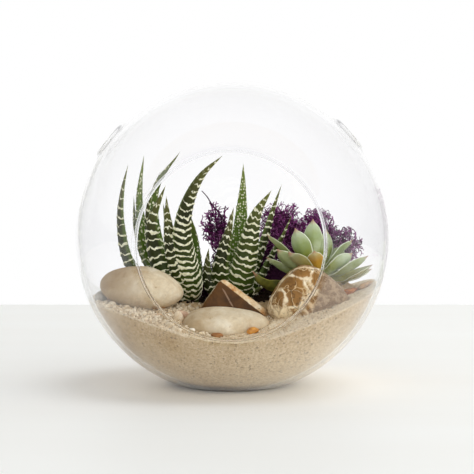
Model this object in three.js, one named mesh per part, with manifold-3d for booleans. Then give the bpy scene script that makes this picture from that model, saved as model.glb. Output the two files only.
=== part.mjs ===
// A planted glass terrarium: a blown glass globe with a large round opening in front and two small
// vents high on its sides, partly filled with fine sand. In it stand two zebra haworthias, an echeveria
// rosette and tufts of dyed moss in a bed of potting soil, with river stones, pebbles and bark chips.
//
// Millimetres, +Z up. The origin is the middle of the flat foot, the opening looks along -Y and +X is
// to the right of someone looking in. Heights inside the globe are measured from the globe's centre.

import * as THREE from "three";
import { mergeVertices } from "three/addons/utils/BufferGeometryUtils.js";
import Module from "manifold-3d";

const wasm = await Module();
wasm.setup();

// ---------- driving dimensions ----------

const GLOBE_R = 90; // outside radius
const WALL = 2.6; // glass thickness
const INNER_R = GLOBE_R - WALL;
const CENTRE_HEIGHT = 84.3; // globe's centre above the surface that it stands on
const FOOT_GLASS = 3; // glass thickness under the sand
const OPENING_PLANE = 73.2; // the front opening's plane, ahead of the centre
const OPENING_TILT = 1; // degrees that the opening looks up
const OPENING_TURN = 0.6; // and to the left
const RIM_ROUND = 0.7; // rounding of the opening's fire-polished rim
const VENT_R = 9; // clear radius of each vent
const VENT_LIP = 2.8; // width of a vent's rolled lip
const VENT_LIP_HEIGHT = 4.2;
const VENT_SINK = 0.4; // the lip's middle lies this far inside the globe's surface
const VENT_SIDES = 20;
const VENT_RISE_LEFT = 39; // degrees that each vent's axis climbs
const VENT_RISE_RIGHT = 42;
const GAP = 0.35; // clearance between pieces that touch
const GLOBE_SIDES = 32;
const FAR = 120; // beyond everything

const SAND_LEVEL = -38; // sand in the middle of the globe
const SAND_RISE_LEFT = 5; // how much higher it lies against the glass on each side
const SAND_RISE_RIGHT = 12;
const SAND_DIP_FRONT = 13.5; // how far it falls away to the opening
const SAND_DIP_BACK = 5;
const SAND_REACH = 80; // distance from the centre at which the side rises are measured
const SAND_DIP_START = -5; // the fall to the opening begins here
const SAND_DIP_RUN = 66.4; // and reaches its full depth this much further on
const SAND_DIP_WIDTH = 47;
const GRAVEL_GRAINS = 14;
const SAND_GRID = 16; // squares along each side of the ground's height grid

const SOIL_CENTRE = new THREE.Vector3(13, 13, -31);
const SOIL_HALF = new THREE.Vector3(60, 32, 30);
const SOIL_GRID = 20;
const SOIL_PROUD = 1.2; // soil stands this much above the sand round it
const MOUND_HEIGHT = 9; // the soil is heaped up round the echeveria
const MOUND_AT = new THREE.Vector2(42, 15);
const MOUND_SPREAD = new THREE.Vector2(26, 18);

const LEAF_THICK = 0.46; // a haworthia leaf's thickness over its width
const LEAF_NECK = 0.82; // its width at the very root, over its full width
const LEAF_FULL_AT = 1 / 6; // it reaches that full width this far along
const LEAF_BACK = 0.55; // width of the flat on its round back
const LEAF_TIP = 0.07; // its blunt tip's width
const BAND_PITCH = 6; // distance between a haworthia's white bands
const BANDED_PART = 0.93; // share of the leaf that carries bands
const BAND_HEIGHT = 0.5; // how far a band stands out of the leaf
const MOSS_TWIG_R = 1.2;
const FOOT_TWIG_R = 2.6; // a moss tuft's foot, in the soil
const MOSS_SWAY = 10; // how far a forked twig strays
const GOLDEN_ANGLE = 2.39996;

// ---------- helpers ----------

const vec = (x, y, z) => new THREE.Vector3(x, y, z);
const radians = THREE.MathUtils.degToRad;

// Small repeatable random numbers from 0 to 1.
function randomiser(seed) {
  let state = seed;
  return () => {
    state = (state * 1664525 + 1013904223) % 4294967296;
    return state / 4294967296;
  };
}

function solidFrom(geometry) {
  const bare = geometry.index ? geometry.toNonIndexed() : geometry.clone();
  bare.deleteAttribute("normal");
  bare.deleteAttribute("uv");
  const merged = mergeVertices(bare, 1e-4);
  return new wasm.Manifold(
    new wasm.Mesh({
      numProp: 3,
      vertProperties: merged.attributes.position.array,
      triVerts: new Uint32Array(merged.index.array),
    }),
  );
}

function geometryFrom(solid) {
  const mesh = solid.getMesh();
  const geometry = new THREE.BufferGeometry();
  geometry.setAttribute("position", new THREE.BufferAttribute(mesh.vertProperties, 3));
  geometry.setIndex(new THREE.BufferAttribute(mesh.triVerts, 1));
  geometry.computeVertexNormals();
  return geometry;
}

// The largest piece of a solid, without the loose scraps that a cut can leave.
function largestPiece(solid) {
  const pieces = solid.decompose();
  pieces.sort((a, b) => b.volume() - a.volume());
  return pieces[0];
}

const union = (solids) => solids.reduce((whole, next) => whole.add(next));

function boxSolid(low, high) {
  const size = high.clone().sub(low);
  const middle = high.clone().add(low).multiplyScalar(0.5);
  const box = new THREE.BoxGeometry(size.x, size.y, size.z);
  return solidFrom(box.translate(middle.x, middle.y, middle.z));
}

// A round solid about the Y axis, from a profile of [radius, y] pairs that starts and ends on the axis.
function turned(profile, sides = GLOBE_SIDES) {
  const points = profile.map(([radius, y]) => new THREE.Vector2(radius, y));
  const solid = solidFrom(new THREE.LatheGeometry(points, sides));
  if (solid.volume() > 0) return solid;
  return solidFrom(new THREE.LatheGeometry(points.reverse(), sides));
}

// Closes rings of points, all of one length, into a skin with a flat start and a pointed end.
function skin(rings, tip) {
  const sides = rings[0].length;
  const positions = [...rings.flat(), tip].flatMap((point) => point.toArray());
  const faces = [];
  for (let ring = 0; ring < rings.length - 1; ring++) {
    for (let side = 0; side < sides; side++) {
      const next = (side + 1) % sides;
      const [a, b] = [ring * sides + side, ring * sides + next];
      const [c, d] = [a + sides, b + sides];
      faces.push(a, b, d, a, d, c);
    }
  }
  const last = (rings.length - 1) * sides;
  for (let side = 0; side < sides; side++) {
    faces.push(last + side, last + ((side + 1) % sides), rings.length * sides);
    if (side > 0 && side < sides - 1) faces.push(0, side + 1, side);
  }
  const geometry = new THREE.BufferGeometry();
  geometry.setAttribute("position", new THREE.Float32BufferAttribute(positions, 3));
  geometry.setIndex(faces);
  const solid = solidFrom(geometry);
  if (solid.volume() > 0) return solid;
  geometry.setIndex(faces.reverse());
  return solidFrom(geometry);
}

// ---------- the ground ----------

function sandHeight(x, y) {
  const out = Math.abs(x) / SAND_REACH;
  const side = x < 0 ? SAND_RISE_LEFT * out ** 2 : SAND_RISE_RIGHT * out ** 3;
  const slope = Math.max(0, (SAND_DIP_START - y) / SAND_DIP_RUN);
  const ahead = slope * Math.exp(-((x / SAND_DIP_WIDTH) ** 2));
  const behind = Math.max(0, y / SAND_REACH) ** 2;
  return SAND_LEVEL + side - SAND_DIP_FRONT * ahead - SAND_DIP_BACK * behind;
}

const onSand = (x, y, lift) => [x, y, sandHeight(x, y) + lift];

function soilHeight(x, y) {
  const across = (x - MOUND_AT.x) / MOUND_SPREAD.x;
  const along = (y - MOUND_AT.y) / MOUND_SPREAD.y;
  const mound = MOUND_HEIGHT * Math.exp(-across * across - along * along);
  const lumps = 0.5 * Math.sin(x / 3.1) * Math.cos(y / 2.7);
  return sandHeight(x, y) + SOIL_PROUD + mound + lumps;
}

// Everything below a height function, inside a square that reaches past the globe.
function groundSolid(height, steps, raised = 0) {
  const reach = GLOBE_R + 5;
  const depth = -GLOBE_R - 5;
  const slab = new THREE.BoxGeometry(2 * reach, 2 * reach, 1, steps, steps, 1);
  const at = slab.attributes.position;
  for (let i = 0; i < at.count; i++) {
    const [x, y] = [at.getX(i), at.getY(i)];
    at.setZ(i, at.getZ(i) > 0 ? height(x, y) + raised : depth);
  }
  return solidFrom(slab);
}

// ---------- glass ----------

// Points of a half circle about the globe's centre, from the back pole forward to a given plane.
function arc(radius, plane) {
  const ahead = Math.acos(-plane / radius);
  const steps = Math.round((GLOBE_SIDES * ahead) / (2 * Math.PI));
  const points = [];
  for (let i = 0; i <= steps; i++) {
    const angle = (ahead * i) / steps;
    points.push([radius * Math.sin(angle), radius * Math.cos(angle)]);
  }
  return points;
}

const ball = (radius) => turned(arc(radius, radius));
const belowPlane = (z) => boxSolid(vec(-FAR, -FAR, -FAR), vec(FAR, FAR, z));

function ventLip() {
  const seat = Math.sqrt(GLOBE_R ** 2 - VENT_R ** 2) - VENT_SINK;
  const section = [];
  for (let i = 0; i <= 6; i++) {
    const angle = (i * Math.PI) / 3;
    const across = (VENT_LIP / 2) * (1 + Math.cos(angle));
    section.push([VENT_R + across, seat + (VENT_LIP_HEIGHT / 2) * Math.sin(angle)]);
  }
  return turned(section, VENT_SIDES);
}

// Stands a solid that is turned about +Y on the globe, its axis climbing to one side.
function toVent(solid, side, rise) {
  const upright = new THREE.Matrix4().makeRotationX(Math.PI / 2);
  const lean = new THREE.Matrix4().makeRotationY(side * radians(90 - rise));
  return solid.transform(lean.multiply(upright).toArray());
}

function glassGlobe() {
  const outside = arc(GLOBE_R, OPENING_PLANE - RIM_ROUND);
  const inside = arc(INNER_R, OPENING_PLANE - RIM_ROUND).reverse();
  const [[outerR], [innerR]] = [outside.at(-1), inside[0]];
  const rim = [[outerR - 1.5 * RIM_ROUND, -OPENING_PLANE], [innerR + 1.5 * RIM_ROUND, -OPENING_PLANE]];
  const aim = [-OPENING_TILT, 0, -OPENING_TURN];
  const shell = turned([...outside, ...rim, ...inside]).rotate(aim);
  const footPad = ball((GLOBE_R + INNER_R) / 2).intersect(belowPlane(FOOT_GLASS - CENTRE_HEIGHT));
  const bore = turned([[0, 0], [VENT_R, 0], [VENT_R, FAR], [0, FAR]], VENT_SIDES);
  let globe = shell.add(footPad).subtract(belowPlane(-CENTRE_HEIGHT));
  for (const [side, rise] of [[-1, VENT_RISE_LEFT], [1, VENT_RISE_RIGHT]]) {
    globe = globe.subtract(toVent(bore, side, rise)).add(toVent(ventLip(), side, rise));
  }
  return globe;
}

// ---------- stones ----------

// A rounded stone: an ellipsoid worn against a few flats, each given as [direction, distance].
// Its radius in any direction is a soft minimum of the ellipsoid and the flats, softer where
// `edge` is low.
function stone({ at, half, turn = [0, 0, 0], flats = [], edge = 9, wave = 0.03, phase = 0 }, grown, detail) {
  const planes = flats.map(([direction, distance]) => [vec(...direction).normalize(), distance]);
  const geometry = new THREE.SphereGeometry(1, ...detail);
  const points = geometry.attributes.position;
  const direction = new THREE.Vector3();
  for (let i = 0; i < points.count; i++) {
    direction.fromBufferAttribute(points, i).normalize();
    const { x, y, z } = direction;
    let sum = Math.hypot(x / half[0], y / half[1], z / half[2]) ** edge;
    for (const [normal, distance] of planes) {
      sum += Math.max(0, direction.dot(normal) / distance) ** edge;
    }
    const ripple = Math.sin(3 * x + phase) * Math.cos(4 * y - phase) + Math.sin(5 * z + 2 * phase) / 2;
    const radius = sum ** (-1 / edge) * (1 + wave * ripple) + grown;
    points.setXYZ(i, x * radius, y * radius, z * radius);
  }
  const pose = new THREE.Matrix4().makeRotationFromEuler(new THREE.Euler(...turn.map(radians)));
  return solidFrom(geometry.applyMatrix4(pose.setPosition(vec(...at))));
}

const STONES = {
  stone_left: {
    at: [-50.5, -21, -27.4], half: [24, 16, 12.8], turn: [0, 9, -8], wave: 0.025, phase: 1,
    flats: [[[0.6, 0, -1], 13]],
  },
  stone_front: {
    at: [-5, -46, -43.6], half: [26, 13, 8.2], turn: [20, 5, 9], wave: 0.03, phase: 2.4,
    flats: [[[0, 0.1, 1], 7], [[-0.7, 0, 0.7], 16]],
  },
  stone_brown: {
    at: [0.5, -22, -35], half: [23, 11, 20], turn: [-6, 0, 4], edge: 16, wave: 0.012, phase: 0.6,
    flats: [[[0.59, 0, 0.8], 8.2], [[-0.84, 0, 0.55], 14], [[0, -1, 0.12], 8], [[0, 0.7, 0.7], 10]],
  },
  stone_veined: {
    at: [42, -25, -31.5], half: [25.5, 14.5, 19], turn: [-5, 0, 12], edge: 12, wave: 0.02, phase: 3.1,
    flats: [[[-0.82, 0, 0.57], 17], [[0.67, 0, 0.74], 17.5], [[0, -1, 0.3], 12.5]],
  },
};

const PEBBLES = {
  pebble_cream: { at: onSand(-29.5, -45, 2), half: [2.5, 2.4, 3.8], turn: [0, -8, 0], phase: 1 },
  pebble_pink: { at: onSand(-28, -34, 1.2), half: [4.4, 3, 2.4], turn: [0, 12, 20], phase: 2 },
  pebble_round: { at: onSand(-35.5, -43, 1), half: [2.2, 2.1, 2], turn: [0, 0, 0], phase: 3 },
  pebble_white: { at: onSand(-22, -60.5, 0.6), half: [2.2, 1.9, 1.6], turn: [0, 0, 30], phase: 3 },
  pebble_grey: { at: onSand(-74.5, -15, 1.6), half: [3.4, 4.4, 3.6], turn: [0, 20, 0], phase: 4 },
  chip_amber: {
    at: onSand(11.4, -56, 1.2), half: [3.6, 2.2, 2], turn: [0, -18, 12], phase: 5,
    flats: [[[1, 0, 1], 2.2]],
  },
  chip_brown: {
    at: onSand(-8.2, -61.5, 0.6), half: [3.4, 1.9, 1.6], turn: [0, 4, 0], phase: 0,
    flats: [[[0, -1, 1], 1.5]],
  },
  bark_near: {
    at: onSand(66.5, -9, 1.2), half: [6, 2.8, 1.9], turn: [0, -18, 12], phase: 2,
    flats: [[[0, 0, 1], 1.6], [[1, 0, 0.4], 5]],
  },
  bark_far: {
    at: onSand(76, -6.5, 1), half: [5, 2.4, 1.7], turn: [0, -28, -10], phase: 3,
    flats: [[[0, 0, 1], 1.4], [[-1, 0, 0.4], 4]],
  },
};

const allStones = { ...STONES, ...PEBBLES };
const detailOf = (name) => (name in STONES ? [14, 9] : [7, 5]);

// ---------- sand and soil ----------

function soilBed(grown = 0) {
  const bowl = new THREE.SphereGeometry(1, 18, 10).scale(
    SOIL_HALF.x + grown, SOIL_HALF.y + grown, SOIL_HALF.z + grown,
  ).translate(SOIL_CENTRE.x, SOIL_CENTRE.y, SOIL_CENTRE.z);
  return solidFrom(bowl);
}

// Coarse grains that lie on the sand where it slopes down to the opening on the left.
function gravel() {
  const random = randomiser(7);
  const grains = [];
  while (grains.length < GRAVEL_GRAINS) {
    const x = THREE.MathUtils.lerp(-70, -22, random());
    const y = THREE.MathUtils.lerp(-62, -30, random());
    const size = 1.3 + 1.1 * random();
    const at = onSand(x, y, 0.3 * size);
    if (Math.hypot(...at) > INNER_R - 2 * size) continue;
    grains.push(stone({ at, half: [size, 0.8 * size, 0.7 * size], phase: 6 * random() }, 0, [4, 3]));
  }
  return union(grains);
}

function sandBed(stoneRoom) {
  const fill = ball(INNER_R - GAP).subtract(belowPlane(FOOT_GLASS + GAP - CENTRE_HEIGHT));
  let sand = fill.intersect(groundSolid(sandHeight, SAND_GRID)).add(gravel());
  sand = sand.subtract(soilBed(GAP));
  for (const room of stoneRoom) sand = sand.subtract(room);
  return largestPiece(sand);
}

// ---------- leaves ----------

const spineOf = (points) =>
  new THREE.CatmullRomCurve3(points.map((point) => vec(...point)), false, "centripetal");

// A leaf's spine passes through the given points, and its back looks towards `face`, in degrees
// from straight ahead (0) over the right (90).
function leafFrames(points, face, stations) {
  const spine = spineOf(points);
  const outward = vec(Math.sin(radians(face)), -Math.cos(radians(face)), 0);
  return stations.map((u) => {
    const along = spine.getTangentAt(u);
    const back = outward.clone().addScaledVector(along, -outward.dot(along)).normalize();
    return { u, at: spine.getPointAt(u), back, side: along.clone().cross(back) };
  });
}

const place = ({ at, side, back }, across, out) =>
  at.clone().addScaledVector(side, across).addScaledVector(back, out);

// Haworthia: a stiff tapering leaf, round on its back, flat inside, with raised white cross bands.
function bandedLeaf({ points, width, face }, grown) {
  const bands = Math.round((BANDED_PART * spineOf(points).getLength()) / BAND_PITCH);
  const stations = [0];
  for (let band = 1; band <= bands; band++) {
    stations.push((band - 0.5) / (bands + 0.6), band / (bands + 0.6));
  }
  const rings = leafFrames(points, face, stations).map((frame, i) => {
    const neck = THREE.MathUtils.lerp(LEAF_NECK, 1, Math.min(1, frame.u / LEAF_FULL_AT));
    const taper = Math.max(LEAF_TIP, neck * (1 - frame.u ** 1.7));
    const half = (width / 2) * taper + grown;
    const thick = LEAF_THICK * width * taper + grown;
    const raised = i % 2 ? BAND_HEIGHT * Math.min(1, 2 * taper) : 0;
    return [
      place(frame, -half - raised / 2, -grown),
      place(frame, half + raised / 2, -grown),
      place(frame, LEAF_BACK * half, 0.88 * thick + raised),
      place(frame, -LEAF_BACK * half, 0.88 * thick + raised),
    ];
  });
  return skin(rings, vec(...points.at(-1)));
}

// Echeveria: a spoon-shaped leaf, widest near its end, with a short sharp tip.
const SPOON = [[0, 0.42], [0.25, 0.52], [0.5, 0.86], [0.68, 1], [0.84, 0.78], [0.94, 0.34]];
function spoonLeaf({ points, width, face }, grown) {
  const frames = leafFrames(points, face, SPOON.map(([u]) => u));
  const rings = frames.map((frame, i) => {
    const half = (width / 2) * SPOON[i][1] + grown;
    const thick = 0.22 * width * (1.15 - 0.7 * frame.u) + grown;
    return [
      place(frame, -half, -0.1 * half),
      place(frame, 0, -0.3 * thick - grown),
      place(frame, half, -0.1 * half),
      place(frame, 0.5 * half, 0.75 * thick),
      place(frame, -0.5 * half, 0.75 * thick),
    ];
  });
  return skin(rings, vec(...points.at(-1)));
}

// ---------- the plants ----------

// Each haworthia leaf: spine points from root to tip, width at the root, and where its back looks.
const HAWORTHIA_LEFT = {
  leafOf: bandedLeaf, crown: [-25, 2, -34], crownR: 8, stem: [-25, 2, -38], stemR: 6, stemHeight: 13,
  leaves: [
    {
      points: [[-43, 4, -28], [-58, 6, -14], [-63.5, 6, 9], [-63, 5, 27], [-60, 3, 43]],
      width: 12.5, face: 285,
    },
    { points: [[-37, 9, -26], [-49, 15, -8], [-54, 18, 21], [-52, 20, 48]], width: 12, face: 235 },
    { points: [[-39, 14, -28], [-51, 20, -13], [-57, 22, 7], [-58, 20, 24]], width: 8, face: 240 },
    { points: [[-34, 11, -26], [-44, 18, -3], [-45, 22, 27], [-30.5, 20, 50]], width: 11, face: 215 },
    { points: [[-36, 6, -26], [-46, 9, -5], [-48, 9, 18], [-41.5, 10, 39]], width: 9, face: 285 },
    { points: [[-34, -3, -28], [-43.5, -6, -7], [-45.5, -7, 10], [-38, -7, 31]], width: 14, face: 330 },
    { points: [[-27, -5, -26], [-33.5, -10, -8], [-36.5, -11, 10], [-37.5, -9.5, 25]], width: 13, face: 350 },
    {
      points: [
        [-23.5, -5, -27], [-27, -11, -8], [-28.5, -13, 5], [-25, -12, 22], [-17, -10, 37], [-5.4, -8, 48],
      ],
      width: 14, face: 12,
    },
    { points: [[-22, 9, -26], [-22, 16, -12], [-23, 19, 2], [-26, 18, 16]], width: 11, face: 150 },
    { points: [[-29, 12, -28], [-35, 26, -14], [-38, 31, 2], [-41, 30, 19]], width: 10, face: 190 },
  ],
};

const HAWORTHIA_RIGHT = {
  leafOf: bandedLeaf, crown: [2.5, 8, -33], crownR: 8, stem: [2.5, 8, -38], stemR: 6, stemHeight: 13,
  leaves: [
    { points: [[2.5, 12, -24], [4.5, 14, 0], [6.4, 14, 30], [6.6, 13, 43]], width: 12, face: 180 },
    { points: [[4.5, 3, -26], [9, -3, -6], [13.8, -4, 14], [22.7, -3, 28]], width: 16.5, face: 8 },
    { points: [[8.5, 9, -24], [17.5, 10, -2], [23.3, 11, 16], [29, 11, 31]], width: 10, face: 70 },
    {
      points: [[-5, 4, -27], [-6.5, 0, -17], [-4.5, -1, -6], [-1.5, 0, 6], [1, 2, 18]],
      width: 12, face: 335,
    },
    { points: [[-9, 5, -31], [-13.5, 4, -24], [-14.2, 5, -14], [-13.5, 6, -6]], width: 11, face: 320 },
    { points: [[10, 4, -32], [15, 1, -29.5], [19.5, 0, -26]], width: 8, face: 50 },
    { points: [[12, 10, -27], [22, 12, -11], [29, 12, 1], [35, 12, 13]], width: 9, face: 85 },
    { points: [[1, 16, -27], [-1, 22, -18], [-2, 25, -4], [-1, 26, 13]], width: 11, face: 185 },
    { points: [[8, 17, -28], [12, 22, -18], [13, 23, -4]], width: 9, face: 160 },
  ],
};

// Each echeveria leaf: root, middle and tip of its spine, width, and where its back looks.
const ECHEVERIA = {
  leafOf: spoonLeaf, crown: [50, 4, -22], crownR: 6, stem: [50, 4, -29], stemR: 4, stemHeight: 18,
  leaves: [
    { points: [[47, -1, -5], [46.5, -2, 11.5]], width: 11, face: 355 },
    { points: [[42, -3, -9], [36, -7, 6.5]], width: 12, face: 335 },
    { points: [[34, -1, -10], [19.5, -3, 3]], width: 10, face: 285 },
    { points: [[35, -8, -14], [25.5, -14, -5]], width: 12.5, face: 318 },
    { points: [[32, 0, -18], [19.5, -3, -10.5]], width: 11, face: 290 },
    { points: [[40, -9, -14], [32, -17, -6.5]], width: 12, face: 325 },
    { points: [[48, -7, -13], [46.8, -14, -6]], width: 10, face: 0 },
    { points: [[53.5, 0, -8], [54.5, 0, 5.5]], width: 9, face: 20 },
    { points: [[61, 4, -9], [70.5, 5, -1]], width: 10, face: 80 },
    { points: [[61, -2, -15], [69.5, -4, -8]], width: 11.5, face: 50 },
    { points: [[65, -4, -18], [78.5, -6, -9.5]], width: 10, face: 65 },
    { points: [[67, 1, -20], [82, 0, -14]], width: 10, face: 90 },
    { points: [[68, 7, -22], [82.5, 8, -17]], width: 10, face: 100 },
    { points: [[48.5, 4.5, -8], [49.5, 3, 3]], width: 9, face: 200 },
    { points: [[55, 5.5, -9], [57, 5.5, 2]], width: 8.5, face: 140 },
    { points: [[43, 10, -13], [38.5, 13, -2]], width: 11, face: 215 },
    { points: [[60, 10, -13], [65, 12, -5]], width: 11, face: 140 },
    { points: [[51, 12, -13], [51, 14.5, -3]], width: 11, face: 180 },
    { points: [[38, 9, -17], [28.5, 10, -10]], width: 10, face: 245 },
    { points: [[38, 0, -25.5], [25, -6, -27], [17, -11, -24], [11.5, -13, -17.5]], width: 9, face: 320 },
  ],
};

function stemSolid({ stem: [x, y, z], stemR, stemHeight }, grown = 0) {
  const post = new THREE.CylinderGeometry(stemR + grown, stemR + grown, stemHeight + 2 * grown, 12);
  return solidFrom(post.rotateX(Math.PI / 2).translate(x, y, z));
}

// The leaves all spring from a crown that sits on the soil, over a plain stem that goes down into it.
function rosette(plant, grown = 0) {
  const radius = plant.crownR + grown;
  const crown = new THREE.SphereGeometry(1, 10, 6).scale(radius, radius, 1.3 * radius);
  const [x, y, z] = plant.crown;
  const leaves = plant.leaves.map(({ points, ...leaf }) =>
    plant.leafOf({ points: [plant.crown, ...points], ...leaf }, grown));
  return union([solidFrom(crown.translate(x, y, z)), ...leaves]);
}

// ---------- moss ----------

// A tapering three-sided twig.
function twig(from, to, thick) {
  const along = to.clone().sub(from).normalize();
  const side = vec(along.z, along.x, along.y).cross(along).normalize();
  const back = along.clone().cross(side);
  const ring = [0, 1, 2].map((i) => {
    const angle = (i * 2 * Math.PI) / 3;
    return from.clone()
      .addScaledVector(side, thick * Math.cos(angle))
      .addScaledVector(back, thick * Math.sin(angle));
  });
  return skin([ring], to);
}

// A tuft of dyed moss: forked twigs that stand out of a smaller core all round, inside an ellipsoid.
function mossTuft({ at, half, tips, core, foot }, random) {
  const centre = vec(...at);
  const heart = stone({ at, half: half.map((h) => h * core), wave: 0.1 }, 0, [8, 6]);
  const parts = [heart, twig(vec(...foot), centre, FOOT_TWIG_R)];
  for (let i = 0; i < tips; i++) {
    const height = 1 - (2 * (i + 0.5)) / tips;
    const turn = i * GOLDEN_ANGLE;
    const level = Math.sqrt(1 - height * height);
    const reach = vec(level * Math.cos(turn), level * Math.sin(turn), height).multiply(vec(...half));
    const root = centre.clone().addScaledVector(reach, 0.75 * core);
    const tip = centre.clone().addScaledVector(reach, 0.85 + 0.3 * random());
    const sway = vec(random() - 0.5, random() - 0.5, random() - 0.5).multiplyScalar(MOSS_SWAY);
    const fork = root.clone().lerp(tip, 0.45);
    parts.push(twig(root, tip, MOSS_TWIG_R));
    parts.push(twig(fork, tip.clone().add(sway), 0.75 * MOSS_TWIG_R));
  }
  return union(parts);
}

const MOSS = {
  moss_left: [{ at: [-11.5, 18, 7], half: [11, 7, 18], tips: 26, core: 0.4, foot: [-14.5, 20, -42] }],
  moss_right: [
    { at: [29.5, 30, -1], half: [15, 9, 22], tips: 27, core: 0.74, foot: [28, 30, -42] },
    { at: [55, 28, -1], half: [19, 8, 19], tips: 27, core: 0.72, foot: [56, 27, -40] },
  ],
};

// ---------- assembly ----------

const COLOURS = {
  glass: { color: 0xeaf2f2, roughness: 0.05, metalness: 0, transparent: true, opacity: 0.3 },
  sand: { color: 0xcbb796, roughness: 0.95, metalness: 0 },
  soil: { color: 0x2a211b, roughness: 1, metalness: 0 },
  cream: { color: 0xd9cbb0, roughness: 0.7, metalness: 0 },
  grey: { color: 0x9a938a, roughness: 0.7, metalness: 0 },
  brown: { color: 0x6b4c35, roughness: 0.6, metalness: 0 },
  veined: { color: 0x8a6a45, roughness: 0.55, metalness: 0 },
  amber: { color: 0xc07a2c, roughness: 0.6, metalness: 0 },
  bark: { color: 0xa8622f, roughness: 0.9, metalness: 0 },
  haworthia: { color: 0x3c5227, roughness: 0.5, metalness: 0 },
  echeveria: { color: 0x9db890, roughness: 0.6, metalness: 0 },
  moss: { color: 0x5a2450, roughness: 0.9, metalness: 0 },
};

const MATERIAL_OF = {
  glass_globe: "glass", sand: "sand", soil: "soil",
  stone_left: "cream", stone_front: "cream", stone_brown: "brown", stone_veined: "veined",
  pebble_cream: "cream", pebble_pink: "cream", pebble_round: "cream", pebble_white: "cream",
  pebble_grey: "grey",
  chip_amber: "amber", chip_brown: "brown", bark_near: "bark", bark_far: "bark",
  haworthia_left: "haworthia", haworthia_right: "haworthia", echeveria: "echeveria",
  moss_left: "moss", moss_right: "moss",
};

function build() {
  const solids = { glass_globe: glassGlobe() };
  const stoneRoom = [];
  for (const [name, shape] of Object.entries(allStones)) {
    solids[name] = stone(shape, 0, detailOf(name));
    stoneRoom.push(stone(shape, GAP, detailOf(name)));
  }

  const air = ball(INNER_R - 2 * GAP)
    .subtract(groundSolid(soilHeight, SOIL_GRID, GAP))
    .subtract(groundSolid(sandHeight, SAND_GRID, GAP))
    .subtract(union(stoneRoom));
  const plants = { haworthia_left: HAWORTHIA_LEFT, haworthia_right: HAWORTHIA_RIGHT, echeveria: ECHEVERIA };
  for (const [name, plant] of Object.entries(plants)) {
    solids[name] = largestPiece(rosette(plant).intersect(air).add(stemSolid(plant)));
  }
  const plantRoom = union(Object.values(plants).map((plant) => rosette(plant, GAP)));
  const holes = Object.values(plants).map((plant) => stemSolid(plant, GAP));
  const random = randomiser(11);
  for (const [name, tufts] of Object.entries(MOSS)) {
    const tuft = union(tufts.map((shape) => mossTuft(shape, random)));
    solids[name] = largestPiece(tuft.intersect(air).subtract(plantRoom));
  }

  solids.sand = sandBed(stoneRoom);
  solids.soil = largestPiece(
    [...stoneRoom, ...holes].reduce(
      (soil, cut) => soil.subtract(cut),
      soilBed().intersect(groundSolid(soilHeight, SOIL_GRID)),
    ),
  );
  return solids;
}

const terrarium = new THREE.Group();
terrarium.position.z = CENTRE_HEIGHT;
for (const [name, solid] of Object.entries(build())) {
  const material = new THREE.MeshStandardMaterial(COLOURS[MATERIAL_OF[name]]);
  const mesh = new THREE.Mesh(geometryFrom(solid), material);
  mesh.name = name;
  terrarium.add(mesh);
}

export default terrarium;
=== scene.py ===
"""The looks of a planted glass terrarium: a blown glass globe on sand, with two banded haworthias, an
echeveria, dyed moss and river stones. Shapes are worked out in millimetres from the globe's centre,
with +Z up, the opening along -Y and +X to the right of someone looking in."""

import math

import bmesh
import bpy
import numpy as np
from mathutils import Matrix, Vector
from mathutils.bvhtree import BVHTree


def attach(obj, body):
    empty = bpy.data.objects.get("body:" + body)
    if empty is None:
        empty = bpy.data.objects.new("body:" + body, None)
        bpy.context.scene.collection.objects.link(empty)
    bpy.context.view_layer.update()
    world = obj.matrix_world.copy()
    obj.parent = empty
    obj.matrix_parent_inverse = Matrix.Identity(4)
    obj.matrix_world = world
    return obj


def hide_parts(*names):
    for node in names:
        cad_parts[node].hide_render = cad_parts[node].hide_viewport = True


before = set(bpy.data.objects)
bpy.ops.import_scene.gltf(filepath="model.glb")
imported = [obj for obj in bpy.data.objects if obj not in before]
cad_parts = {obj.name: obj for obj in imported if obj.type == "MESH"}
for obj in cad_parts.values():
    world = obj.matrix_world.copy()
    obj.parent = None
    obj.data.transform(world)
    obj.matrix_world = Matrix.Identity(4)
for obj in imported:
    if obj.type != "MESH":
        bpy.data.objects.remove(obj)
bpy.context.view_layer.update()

# ---------- measures ----------

GLOBE_R = 90.0
WALL = 2.6
INNER_R = GLOBE_R - WALL
CENTRE_HEIGHT = 84.3  # the globe's centre above the surface that it stands on
FOOT_GLASS = 3.0
OPENING_PLANE = 73.2
OPENING_TILT, OPENING_TURN = 1.0, 0.6  # degrees
RIM_ROUND = 1.5  # how far behind the opening's plane the inner wall ends
SHOULDER = 0.9  # and how far behind it the outer wall starts to flatten towards the lip
LIP_R = 51.8
LIP_FACE, LIP_WIDE = -72.85, 1.0  # the lip's own face, a fine step behind the plane
SHOULDER_CLEAR, RIM_CLEAR = 0.88, 0.6  # how much light goes straight through the shoulder and the lip
VENT_R = 9.0
VENTS = [(-1, 39.0), (1, 42.0)]  # side, and degrees that the vent's axis climbs
VENT_SIDES = 72
BEYOND = 99  # past the glass, for what is cut away from it
GAP = 0.35

SAND_LEVEL = -38.0
SOIL_CENTRE = np.array([13.0, 13.0, -31.0])
SOIL_HALF = np.array([60.0, 32.0, 30.0])
SANDY = [(0, 44, 54), (1, -4, -9), (0, -18, -26)]  # axis, and from where to where the soil turns to sand

AMBIENT_LOW, AMBIENT_HIGH = 1.9, 0.05  # how strongly the surround lights things, level and from above
FROM_LEFT, FROM_RIGHT = 0.78, 1.24  # and how much of that comes from each side
BRIGHT_MIDDLE, GREY_SIDES, GREY_TOP = 1.06, 0.47, 0.6  # how bright the surround looks in the glass
TABLE_FAR, TABLE_BEND = 437.0, 14.0  # the table's far edge, and the radius that it is rounded to
CAMERA_AWAY, CAMERA_UP = 1.0, 4.0  # metres from the globe's centre, and degrees above it
PHOTO_SIDE, FOCAL_LENGTH, PHOTO_SHIFT = 474, 1733, (5, 1.5)  # in the photograph's pixels

rng = np.random.default_rng(20)


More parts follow.
